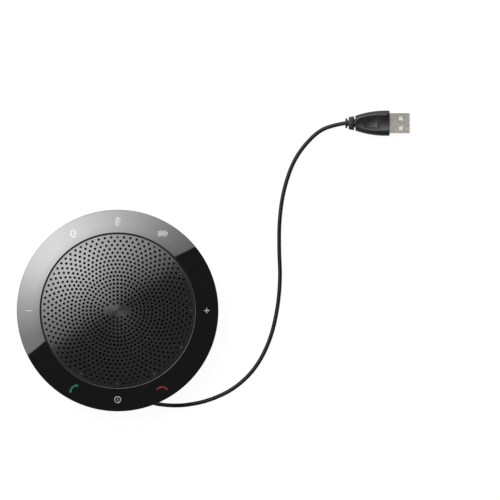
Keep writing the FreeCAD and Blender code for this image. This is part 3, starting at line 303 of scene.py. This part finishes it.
# The body's sides are arcs that run on into the straight front part.
swell = (PLUG_WIDTH - PLUG_NECK) / 2
side_radius = (SHOULDER_LENGTH ** 2 + swell ** 2) / (2 * swell)
slices = []
for step in range(SHOULDER_STEPS + 1):
    ahead = SHOULDER_LENGTH * (1 - step / SHOULDER_STEPS)
    inset = side_radius - math.sqrt(side_radius ** 2 - ahead ** 2)
    slices.append((PLUG_AXIS.x + SHOULDER_LENGTH - ahead, PLUG_WIDTH - 2 * inset))
slices.append((PLUG_AXIS.x + PLUG_LENGTH, PLUG_WIDTH))
overmould = drawn_forward("plug_body", slices, PLUG_THICKNESS, PLUG_AXIS.z)

# Its four long edges are well rounded, and the rest of its edges slightly.
corners = overmould.data.vertices
bpy.ops.object.mode_set(mode="EDIT")
bpy.ops.mesh.select_mode(type="EDGE")
bpy.ops.mesh.select_all(action="DESELECT")
bpy.ops.object.mode_set(mode="OBJECT")
for edge in overmould.data.edges:
    near_end, far_end = (corners[corner].co for corner in edge.vertices)
    edge.select = abs(near_end.x - far_end.x) > 0.1 * MM
bpy.ops.object.mode_set(mode="EDIT")
bpy.ops.mesh.bevel(offset=SIDE_ROUND, offset_type="OFFSET", segments=6, affect="EDGES")
bpy.ops.object.mode_set(mode="OBJECT")
end(overmould, bevel=0.35 * MM, segments=3, smooth=40)

# A grip is sunk in each broad face: a long arch, open at the front. Each holds a bare sunk field.
GRIP_DEPTH, FIELD_DEPTH = 0.45 * MM, 0.4 * MM
GRIP_SLICES = [(141.9, 0.8), (142.1, 1.9), (142.6, 3.3), (143.4, 4.6), (144.6, 5.8), (146.0, 6.8),
               (148.0, 7.8), (150.4, 8.5), (153.0, 8.8), (157.0, 8.7), (163.0, 8.6)]
FIELD = ((147.2, 109.0), (154.6, 114.4))
for side in (1, -1):
    face_level = PLUG_AXIS.z + side * PLUG_THICKNESS / 2
    grip = drawn_forward(
        "grip", [(x * MM, width * MM) for x, width in GRIP_SLICES], 2 * GRIP_DEPTH, face_level)
    boolean(overmould, end(grip, bevel=0.12 * MM, segments=2, smooth=50))
    floor_level = face_level - side * GRIP_DEPTH
    low, high = [Vector(corner) * MM for corner in FIELD]
    field = block(
        "field", (low.x, low.y, floor_level - FIELD_DEPTH), (high.x, high.y, floor_level + FIELD_DEPTH))
    boolean(overmould, end(field, bevel=0.2 * MM, segments=3))

# A small dome ahead of the field tells a thumb which way up the plug goes.
bpy.ops.object.select_all(action="DESELECT")
bpy.ops.mesh.primitive_uv_sphere_add(
    segments=24, ring_count=12, radius=0.5 * MM,
    location=Vector((156.1, 112.0, 7.8)) * MM - Vector((0, 0, GRIP_DEPTH + 0.2 * MM)))
boolean(overmould, begin("thumb_dot"), "UNION")

# Behind the body, two ribs on a thinner neck let the cord bend.
RIBS = [(137.4, 7.3, 140.7, 8.5, 5.8), (135.4, 5.6, 136.7, 6.1, 4.8)]
for x, width, new_x, new_width, thickness in RIBS:
    rib = drawn_forward(
        "rib", [(x * MM, width * MM), (new_x * MM, new_width * MM)], thickness * MM, PLUG_AXIS.z)
    boolean(overmould, end(rib, bevel=0.5 * MM, segments=4), "UNION")
NECKS = [(135.6, 142.0, 1.75), (138.0, 142.0, 2.55)]
for start, stop, radius in NECKS:
    bpy.ops.object.select_all(action="DESELECT")
    bpy.ops.mesh.primitive_cylinder_add(
        vertices=40, radius=radius * MM, depth=(stop - start) * MM,
        location=((start + stop) / 2 * MM, *PLUG_AXIS.yz), rotation=(0, math.radians(90), 0))
    boolean(overmould, end(begin("neck"), bevel=0.15 * MM), "UNION")
end(overmould, smooth=35)

# PVC, moulded in a spark-eroded tool: dark grey, dull, with a fine even grain.
pvc = grained(finish("moulded_dark_grey_pvc", "#1f1f20", 0.3, Specular_IOR_Level=0.45), 0.30 * MM, 0.008 * MM,
              mottle=0.12, wear=0.05)
overmould.data.materials.append(pvc)
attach(overmould, "root")
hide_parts("plug_overmould")


def repaint(material, *names):
    """Gives CAD nodes a finish."""
    for name in names:
        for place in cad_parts[name].material_slots:
            place.material = material


# Nickel plate on rolled steel: bright, slightly warm, with fine rolling lines along the shell.
nickel = grained(finish("nickel_plated_steel", "#cfcac0", 0.24, Metallic=1.0), 0.25 * MM, 0.004 * MM,
                 wear=0.06, stretch=(0.08, 1, 1))
# Glass-filled nylon, moulded: off-white and half dull.
white_nylon = grained(finish("moulded_white_nylon", "#e4e2dc", 0.45), 0.4 * MM, 0.006 * MM, mottle=0.04)
# Gold flash over nickel: yellow and bright.
gold = grained(finish("gold_plated_contact", "#e0b766", 0.2, Metallic=1.0), 0.2 * MM, 0.002 * MM, wear=0.05)
repaint(nickel, "plug_shell")
repaint(white_nylon, "plug_tongue")
repaint(gold, "plug_contacts")

# ==== touch ring ==================================================================================
# One moulding of black polycarbonate, polished like a piano's lid. It has no keys: the boards under it
# sense a finger through it. Its face falls away to the rim, and its inner and outer edges are rounded.

STEPS = 256
RING_INNER, RING_OUTER = 46.1 * MM, 60.0 * MM
RING_TOP = 27.8 * MM
CROWN_RADIUS, CROWN_CENTRE = 182.9 * MM, 21.0 * MM
RING_EDGE, RING_INNER_EDGE = 0.2 * MM, 0.28 * MM
RING_WALL = 1.8 * MM
RING_FOOT = 22.0 * MM
LIP_WALL, LIP_FOOT = 1.2 * MM, 21.9 * MM
INLAY_STAND = 0.02 * MM
# The face's own points start this far from its rounded edges.
OUTER_CLEAR, INNER_CLEAR = 0.4 * MM, 0.3 * MM


def turned(name, section, closed=True):
    """Spins a half section round the vertical axis, by drawing a circle from point to point."""
    radius, height = section[0]
    bpy.ops.object.select_all(action="DESELECT")
    bpy.ops.mesh.primitive_circle_add(vertices=STEPS, radius=radius, location=(0, 0, height))
    made = begin(name)
    bpy.ops.object.mode_set(mode="EDIT")
    bpy.ops.mesh.select_mode(type="VERT")
    bpy.ops.mesh.select_all(action="SELECT")
    for new_radius, new_height in section[1:]:
        bpy.ops.mesh.extrude_region_move(TRANSFORM_OT_translate={"value": (0, 0, new_height - height)})
        ratio = new_radius / radius
        bpy.ops.transform.resize(value=(ratio, ratio, 1), center_override=(0, 0, new_height))
        radius, height = new_radius, new_height
    bpy.ops.mesh.select_all(action="DESELECT")
    bpy.ops.mesh.select_non_manifold(extend=False, use_wire=False, use_multi_face=False,
                                     use_non_contiguous=False, use_verts=False)
    if closed:
        bpy.ops.mesh.bridge_edge_loops()
    else:
        bpy.ops.mesh.fill_holes(sides=0)
    bpy.ops.object.mode_set(mode="OBJECT")
    return made


def crown(radius):
    """Height of the ring's face."""
    level = RING_TOP - math.sqrt(CROWN_RADIUS ** 2 - (RING_INNER - CROWN_CENTRE) ** 2)
    return level + math.sqrt(CROWN_RADIUS ** 2 - (radius - CROWN_CENTRE) ** 2)


def between(first, last, count):
    """Evenly spaced values, both ends in."""
    return [first + (last - first) * step / (count - 1) for step in range(count)]


def rounding(radius, height, size, first, last, count=7):
    """Points of a rounded edge about its own centre, by the angle from level outwards."""
    return [(radius + size * math.cos(math.radians(angle)), height + size * math.sin(math.radians(angle)))
            for angle in between(first, last, count)]


edge_in = RING_OUTER - RING_EDGE
bevel_out = RING_INNER + RING_INNER_EDGE
ring_section = [(RING_OUTER, RING_FOOT)]
ring_section += rounding(edge_in, crown(edge_in) - RING_EDGE, RING_EDGE, 0, 78)
ring_section += [(radius, crown(radius))
                 for radius in between(edge_in - OUTER_CLEAR, bevel_out + INNER_CLEAR, 20)]
ring_section += rounding(bevel_out, crown(bevel_out) - RING_INNER_EDGE, RING_INNER_EDGE, 82, 180)
ring_section += [(RING_INNER, LIP_FOOT), (RING_INNER + LIP_WALL, LIP_FOOT)]
ring_section += [(radius, crown(radius) - RING_WALL)
                 for radius in between(RING_INNER + LIP_WALL, RING_OUTER - RING_WALL, 12)]
ring_section += [(RING_OUTER - RING_WALL, RING_FOOT)]
ring_section = [(radius, height - INLAY_STAND) for radius, height in ring_section]
touch_ring = end(turned("touch_ring", ring_section), smooth=35)

# Polycarbonate, gloss moulded and hard-coated: deep black, a mirror with a faint moulding ripple.
piano_black = grained(
    finish("gloss_black_polycarbonate", "#060607", 0.03, IOR=1.6, Coat_Weight=1.0, Coat_Roughness=0.015,
           Coat_IOR=1.7),
    9 * MM, 0.0008 * MM, wear=0.01)
touch_ring.data.materials.append(piano_black)
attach(touch_ring, "root")
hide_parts("control_ring")

# The symbols are windows of translucent polycarbonate moulded flush into the ring, under its hard coat.
SYMBOLS = {"white_symbols": ("milk_white", "#b8b8b9"), "answer_symbol": ("leaf_green", "#227f60"),
           "hangup_symbol": ("signal_red", "#8a2f2e")}
for node_name, (shade_name, shade) in SYMBOLS.items():
    repaint(grained(
        finish(shade_name + "_polycarbonate", shade, 0.12, IOR=1.585, Coat_Weight=1.0, Coat_Roughness=0.03),
        0.5 * MM, 0.002 * MM, mottle=0.05), node_name)

# ==== grille ======================================================================================
# Sheet aluminium, punched with rings of holes while flat, pressed to a shallow dome and painted a
# satin metallic grey, with its middle left unpunched. Twelve light tips stand in its outermost holes,
# and a black cloth lies close behind it.

GRILLE_EDGE = 45.75 * MM
GRILLE_FOOT = 21.6 * MM
GRILLE_WALL = 1.2 * MM
DOME_APEX, DOME_RADIUS = 32.9 * MM, 204.0 * MM
HOLE_PITCH = 2.3 * MM
HOLE_RADIUS = 0.75 * MM
HOLE_SIDES = 16
BURR = 0.05 * MM
FOLD, FOLD_CLEAR = 0.7 * MM, 0.2 * MM
PUNCH_DEPTH = 2.2 * GRILLE_WALL
POLE_RADIUS = 1 * MM
FIRST_RING, LAST_RING = 2, 19
PLATE_HALF = (7.7 * MM, 2.7 * MM)
LIGHTS = 12


def dome(radius, depth=0.0):
    """Height of the grille's face, or of a face a depth below it."""
    return DOME_APEX - DOME_RADIUS + math.sqrt((DOME_RADIUS - depth) ** 2 - radius ** 2)


def punched(ring):
    """Holes in a ring, and whether they stand half a step round."""
    count = {7: 48, 8: 48, 9: 60, 10: 60, 11: 60}.get(ring, 6 * ring if ring < 7 else 72)
    return count, 0.5 if ring >= 10 and ring % 2 == 0 else 0.0


inner_edge = GRILLE_EDGE - GRILLE_WALL
grille_section = [(radius, dome(radius, GRILLE_WALL)) for radius in between(POLE_RADIUS, inner_edge, 24)]
grille_section += [(inner_edge, GRILLE_FOOT), (GRILLE_EDGE, GRILLE_FOOT)]
grille_section += rounding(GRILLE_EDGE - FOLD, dome(GRILLE_EDGE - FOLD) - FOLD, FOLD, 0, 75)
grille_section += [(radius, dome(radius))
                   for radius in between(GRILLE_EDGE - FOLD - FOLD_CLEAR, POLE_RADIUS, 24)]
grille = end(turned("grille_cover", grille_section, closed=False), smooth=35)

# One punch: a straight shank with a small flare at the face, set square to the dome at each hole.
bpy.ops.object.select_all(action="DESELECT")
bpy.ops.mesh.primitive_circle_add(vertices=HOLE_SIDES, radius=HOLE_RADIUS, location=(0, 0, -PUNCH_DEPTH))
punch = begin("punch")
bpy.ops.object.mode_set(mode="EDIT")
bpy.ops.mesh.select_all(action="SELECT")
for rise, spread in ((PUNCH_DEPTH - BURR, 1.0), (2 * BURR, 1 + 2 * BURR / HOLE_RADIUS)):
    bpy.ops.mesh.extrude_region_move(TRANSFORM_OT_translate={"value": (0, 0, rise)})
    bpy.ops.transform.resize(value=(spread, spread, 1), center_override=(0, 0, 0))
bpy.ops.mesh.select_all(action="SELECT")
bpy.ops.mesh.fill_holes(sides=0)
bpy.ops.mesh.normals_make_consistent(inside=False)
bpy.ops.object.mode_set(mode="OBJECT")

punches = []
for ring in range(FIRST_RING, LAST_RING + 1):
    count, shift = punched(ring)
    radius = ring * HOLE_PITCH
    for index in range(count):
        turn = math.radians(90) + 2 * math.pi * (index + shift) / count
        place = Vector((radius * math.cos(turn), radius * math.sin(turn), dome(radius)))
        if abs(place.x) < PLATE_HALF[0] and abs(place.y) < PLATE_HALF[1]:
            continue
        outward = place - Vector((0, 0, DOME_APEX - DOME_RADIUS))
        copy = bpy.data.objects.new("punch", punch.data.copy())
        copy.matrix_world = Matrix.Translation(place) @ outward.to_track_quat("Z", "Y").to_matrix().to_4x4()
        bpy.context.scene.collection.objects.link(copy)
        punches.append(copy)
bpy.data.objects.remove(punch)
punches = join("punches", punches)
bpy.ops.object.transform_apply(location=True, rotation=True, scale=True)
boolean(grille, punches, solver="MANIFOLD")
end(grille, smooth=30)

# Satin metallic paint on aluminium: mid grey flake in a dark base, fine orange peel.
satin_grey = grained(
    finish("satin_metallic_grey_paint", "#131315", 0.22, IOR=1.95, Anisotropic=0.6,
           Anisotropic_Rotation=0.25),
    0.5 * MM, 0.002 * MM, mottle=0.08, wear=0.03)
around = add(satin_grey.node_tree, "ShaderNodeTangent", direction_type="RADIAL", axis="Z").outputs["Tangent"]
satin_grey.node_tree.links.new(around, satin_grey.node_tree.nodes["Principled BSDF"].inputs["Tangent"])
grille.data.materials.append(satin_grey)
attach(grille, "root")
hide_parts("grille")

# Light pipes: twelve frosted tips that fill every sixth hole of the outermost ring.
TIP_RADIUS = 0.52 * MM
tips = []
radius = LAST_RING * HOLE_PITCH
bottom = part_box("light_pipes")[0].z
height = dome(radius) - bottom
for index in range(LIGHTS):
    turn = 2 * math.pi * index / LIGHTS
    place = Vector((radius * math.cos(turn), radius * math.sin(turn), 0))
    bpy.ops.object.select_all(action="DESELECT")
    bpy.ops.mesh.primitive_cylinder_add(
        vertices=28, radius=TIP_RADIUS, depth=height, location=place + Vector((0, 0, bottom + height / 2)))
    tips.append(end(begin("tip"), bevel=0.2 * MM, segments=4))
tips = join("light_tips", tips)
# Polycarbonate, moulded with a frosted end: smoke grey while unlit, with a soft shine.
frosted = grained(
    finish("frosted_polycarbonate", "#2e2e30", 0.2, IOR=1.585, Coat_Weight=1.0, Coat_Roughness=0.1),
    0.3 * MM, 0.006 * MM, mottle=0.04)
tips.data.materials.append(frosted)
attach(tips, "root")
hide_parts("light_pipes")

# Acoustic mesh behind the grille: woven black polyester, 0.25 mm threads drawn as a fine weave.
mesh_cloth = grained(
    finish("woven_black_polyester", "#060607", 0.95, Specular_IOR_Level=0.05), 0.25 * MM, 0.05 * MM)
repaint(mesh_cloth, "grille_cloth")

# ==== housing and base ============================================================================
# Two mouldings of black ABS: the upper housing carries the ring and the driver, and the bottom cover
# closes it with a thin lip, so that the drum between them takes the cord. Screws hide under the foot.

# ABS, moulded with a fine spark texture: black, dull, with a little handling shine.
abs_black = grained(finish("spark_textured_black_abs", "#1c1c1e", 0.5), 0.22 * MM, 0.02 * MM, mottle=0.15,
                    wear=0.08)
repaint(abs_black, "upper_housing", "bottom_cover")
# Thermoplastic rubber, moulded: black and grippy, dusty on its high spots.
foot_rubber = grained(finish("moulded_black_rubber", "#18181a", 0.82, Sheen_Weight=0.15), 0.3 * MM, 0.03 * MM,
                      mottle=0.3)
repaint(foot_rubber, "foot_ring", "cord_grommet", "microphone_boot")

# ==== speaker suspension ==========================================================================
# The surround is a half roll of rubber, glued to the basket's flange and to the cone's rim. The spider
# is a disc of cotton dipped in resin, glued to the basket's ledge and to the coil former. Both bend.

ROLL_RADIUS, ROLL_HEIGHT, ROLL_SIZE, ROLL_WALL = 27.25 * MM, 23.5 * MM, 2.35 * MM, 0.4 * MM
ROLL_FOOT, ROLL_SEAT = 23.45 * MM, 24.85 * MM
FLANGE_RADIUS, SEAT_INNER = 30.7 * MM, 24.0 * MM
SEAT_ABOVE, SEAT_BELOW = 25.3 * MM, 25.5 * MM
surround_section = [(FLANGE_RADIUS, ROLL_FOOT), (FLANGE_RADIUS, ROLL_FOOT + ROLL_WALL)]
surround_section += rounding(ROLL_RADIUS, ROLL_HEIGHT, ROLL_SIZE, 8, 132, 16)
surround_section += [(SEAT_ABOVE, ROLL_SEAT + ROLL_WALL), (SEAT_INNER, ROLL_SEAT + ROLL_WALL),
                     (SEAT_INNER, ROLL_SEAT), (SEAT_BELOW, ROLL_SEAT)]
surround_section += rounding(ROLL_RADIUS, ROLL_HEIGHT, ROLL_SIZE - ROLL_WALL, 136, 0, 16)
surround = end(turned("roll_surround", surround_section), smooth=40)
surround.data.materials.append(foot_rubber)
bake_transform(surround)
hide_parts("speaker_surround")

LEDGE_LEVEL, NECK_LEVEL, DISC_WALL = 20.05 * MM, 20.85 * MM, 0.3 * MM
LEDGE_RADIUS, COLLAR_RADIUS = 16.6 * MM, 10.45 * MM
SPIDER_OUTER, SPIDER_INNER = 20.0 * MM, 9.9 * MM
spider = end(turned("centring_disc", [
    (SPIDER_OUTER, LEDGE_LEVEL), (SPIDER_OUTER, LEDGE_LEVEL + DISC_WALL),
    (LEDGE_RADIUS, LEDGE_LEVEL + DISC_WALL), (COLLAR_RADIUS, NECK_LEVEL + DISC_WALL),
    (SPIDER_INNER, NECK_LEVEL + DISC_WALL), (SPIDER_INNER, NECK_LEVEL),
    (COLLAR_RADIUS, NECK_LEVEL), (LEDGE_RADIUS, LEDGE_LEVEL)]), smooth=30)

# Cotton cloth, stiffened with resin: tan, coarse and dull.
spider.data.materials.append(
    grained(finish("resin_dipped_cotton", "#b98b4a", 0.8), 0.35 * MM, 0.06 * MM, mottle=0.2))
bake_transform(spider)
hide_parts("speaker_spider")

# ==== inside ======================================================================================
# What the housing holds: boards, battery, driver, microphone and leads. None of it shows while the
# phone is whole, but each piece has its own finish.

INSIDE = [
    # name, colour, roughness, metallic, grain in mm, grain depth in mm, mottle, pieces
    ("zinc_plated_steel", "#b9bcc0", 0.32, 1.0, 0.3, 0.003, 0.1,
     ("housing_screws", "board_screws", "driver_screws", "speaker_yoke", "speaker_top_plate", "speaker_frame",
      "radio_shield", "microphone")),
    ("nickel_plated_magnet", "#c4c4c6", 0.2, 1.0, 0.5, 0.002, 0.0, ("speaker_magnet",)),
    ("green_solder_mask", "#0f4a2b", 0.3, 0.0, 0.6, 0.01, 0.25,
     ("main_board", "touch_board", "radio_module")),
    ("moulded_epoxy", "#17171a", 0.5, 0.0, 0.2, 0.006, 0.1,
     ("processor_chip", "amplifier_chip", "power_chip", "capacitors", "speaker_terminals", "headset_jack")),
    ("natural_nylon", "#e6ddc6", 0.45, 0.0, 0.4, 0.006, 0.06,
     ("battery_socket", "speaker_socket", "ribbon_sockets", "cord_socket", "ring_leds")),
    ("closed_cell_foam", "#1d1d1f", 0.9, 0.0, 0.4, 0.05, 0.25, ("battery_foam", "speaker_gasket")),
    ("conductive_foam", "#6a6a6d", 0.7, 0.0, 0.3, 0.03, 0.15, ("touch_pads",)),
    ("aluminised_pouch", "#b4b7ba", 0.38, 0.6, 1.2, 0.03, 0.08, ("battery",)),
    ("polyimide_film", "#b06a1c", 0.35, 0.0, 0.5, 0.004, 0.1, ("ribbon_cable", "coil_former")),
    ("coated_paper", "#1a1a1b", 0.7, 0.0, 0.3, 0.02, 0.2, ("speaker_cone", "dust_cap")),
    ("enamelled_copper", "#b5603a", 0.3, 1.0, 0.2, 0.02, 0.1, ("voice_coil",)),
    ("red_pvc_sleeve", "#a51e20", 0.4, 0.0, 0.3, 0.004, 0.1, ("battery_leads", "speaker_leads")),
    ("black_pvc_sleeve", "#151516", 0.4, 0.0, 0.3, 0.006, 0.1, ("cord_tail",)),
]
for name, colour, roughness, metallic, grain, depth, mottle, members in INSIDE:
    plain = finish(name, colour, roughness, Metallic=metallic)
    repaint(grained(plain, grain * MM, depth * MM, mottle=mottle), *members)

# ==== studio ======================================================================================
# A white table under a white tent. The tent's roof is dark but for one large soft box, on the disc's
# upper left: it ends in a straight edge almost overhead and is brightest towards its middle.

SOFT_BOX_AZIMUTH = 123
BRIGHT_AZIMUTH = 132
BOX_EDGE = 0.0525
EDGE_BLUR = 0.001
BOX_LEVEL = 5.9
# How far out from overhead, and the box's brightness there as a share of its best.
BOX_REACH = [(0.0, 0.08), (0.05, 0.15), (0.14, 0.30), (0.22, 0.53), (0.29, 0.86), (0.34, 1.0), (0.50, 1.0),
             (0.62, 0.60), (0.80, 0.50), (1.0, 0.45)]
ROOF_LEVEL = 0.062
NEAR_WALL, FAR_WALL = 1.5, 0.25
WALL_START, WALL_FULL = 0.72, 0.55
WALL_TURN = 0.8
BOX_GONE, BOX_WHOLE = 1.05, 0.95
LEAST_HEIGHT = 0.001
TABLE_SIZE, TABLE_DROP = 6.0, 0.05 * MM
TABLE_GLOW, TABLE_LIFT = 1.05, 0.9
# Degrees from the bright azimuth, and the box's brightness there.
BOX_FALL = [(-90, 0.17), (-77, 0.26), (-57, 0.47), (-37, 0.68), (-17, 0.90), (0, 1.0), (13, 0.96), (23, 0.86),
            (43, 0.52), (63, 0.27), (75, 0.22)]

world = bpy.data.worlds.new("tent")
bpy.context.scene.world = world
world.use_nodes = True
sky = world.node_tree
sky.nodes.clear()


def sums(kind, left, right):
    """One step of arithmetic in the world's tree."""
    return add(sky, "ShaderNodeMath", {0: left, 1: right}, operation=kind).outputs[0]


toward = add(sky, "ShaderNodeSeparateXYZ", {0: add(sky, "ShaderNodeTexCoord").outputs["Generated"]}).outputs
height = sums("MAXIMUM", toward["Z"], LEAST_HEIGHT)
across, along = sums("DIVIDE", toward["X"], height), sums("DIVIDE", toward["Y"], height)


def turned_about(azimuth):
    """The roof's plane coordinates, turned so that the first runs along an azimuth."""
    cosine, sine = math.cos(math.radians(azimuth)), math.sin(math.radians(azimuth))
    forward = sums("ADD", sums("MULTIPLY", across, cosine), sums("MULTIPLY", along, sine))
    sideways = sums("SUBTRACT", sums("MULTIPLY", along, cosine), sums("MULTIPLY", across, sine))
    return forward, sideways


past_edge = add(sky, "ShaderNodeMapRange", {
    "Value": turned_about(SOFT_BOX_AZIMUTH)[0], "From Min": BOX_EDGE - EDGE_BLUR,
    "From Max": BOX_EDGE + EDGE_BLUR}).outputs[0]
reach = sums("SQRT", sums("ADD", sums("MULTIPLY", across, across), sums("MULTIPLY", along, along)), 0)
forward, sideways = turned_about(BRIGHT_AZIMUTH)
bearing = sums("ARCTAN2", sideways, forward)


def scale_of(value, start, end, levels):
    """A brightness read from a scale of stops."""
    ramp = add(sky, "ShaderNodeValToRGB", {
        "Fac": add(sky, "ShaderNodeMapRange", {
            "Value": value, "From Min": start, "From Max": end}).outputs[0]})
    stops = ramp.color_ramp.elements
    while len(stops) < len(levels):
        stops.new(0.5)
    for stop, (place, level) in zip(stops, levels):
        stop.position = (place - start) / (end - start)
        stop.color = (level, level, level, 1)
    return ramp.outputs["Color"]


by_bearing = scale_of(bearing, math.radians(-90), math.radians(90),
                      [(math.radians(angle), level) for angle, level in BOX_FALL])
by_reach = scale_of(reach, 0.0, 1.0, BOX_REACH)
inside = add(sky, "ShaderNodeMapRange", {
    "Value": reach, "From Min": BOX_GONE, "From Max": BOX_WHOLE}).outputs[0]
box_light = sums("MULTIPLY", sums("MULTIPLY", sums("MULTIPLY", past_edge, inside), by_reach),
                 sums("MULTIPLY", by_bearing, BOX_LEVEL))
# The walls on the soft box's side catch more of its light than the far ones.
facing = sums("ADD", sums("MULTIPLY", toward["X"], math.cos(math.radians(SOFT_BOX_AZIMUTH))),
              sums("MULTIPLY", toward["Y"], math.sin(math.radians(SOFT_BOX_AZIMUTH))))
wall_level = add(sky, "ShaderNodeMapRange", {
    "Value": facing, "From Min": -WALL_TURN, "From Max": WALL_TURN, "To Min": FAR_WALL,
    "To Max": NEAR_WALL}).outputs[0]
wall_light = add(sky, "ShaderNodeMapRange", {
    "Value": toward["Z"], "From Min": WALL_START, "From Max": WALL_FULL, "To Min": ROOF_LEVEL,
    "To Max": wall_level}).outputs[0]
seen = add(sky, "ShaderNodeLightPath").outputs["Is Camera Ray"]
light = add(sky, "ShaderNodeBackground", {"Color": sums("ADD", box_light, wall_light), "Strength": 1.0})
white = add(sky, "ShaderNodeBackground", {"Color": (1, 1, 1, 1), "Strength": 1.0})
mixed = add(sky, "ShaderNodeMixShader", {0: seen, 1: light.outputs[0], 2: white.outputs[0]})
add(sky, "ShaderNodeOutputWorld", {"Surface": mixed.outputs[0]})

# The table: a white laminate, bright enough to read as plain white where nothing shades it.
bpy.ops.object.select_all(action="DESELECT")
bpy.ops.mesh.primitive_plane_add(size=TABLE_SIZE, location=(0, 0, -TABLE_DROP))
table = begin("table")
laminate = finish("white_laminate", "#fafafa", 0.6, Specular_IOR_Level=0.2)
tree = laminate.node_tree
shader = tree.nodes["Principled BSDF"]
output = tree.nodes["Material Output"]
lift = add(tree, "ShaderNodeEmission", {"Color": (1, 1, 1, 1), "Strength": TABLE_GLOW})
path = add(tree, "ShaderNodeLightPath")
part = add(tree, "ShaderNodeMath", {0: path.outputs["Is Camera Ray"], 1: TABLE_LIFT}, operation="MULTIPLY")
blended = add(tree, "ShaderNodeMixShader", {0: part.outputs[0], 1: shader.outputs[0], 2: lift.outputs[0]})
tree.links.new(blended.outputs[0], output.inputs["Surface"])
table.data.materials.append(laminate)
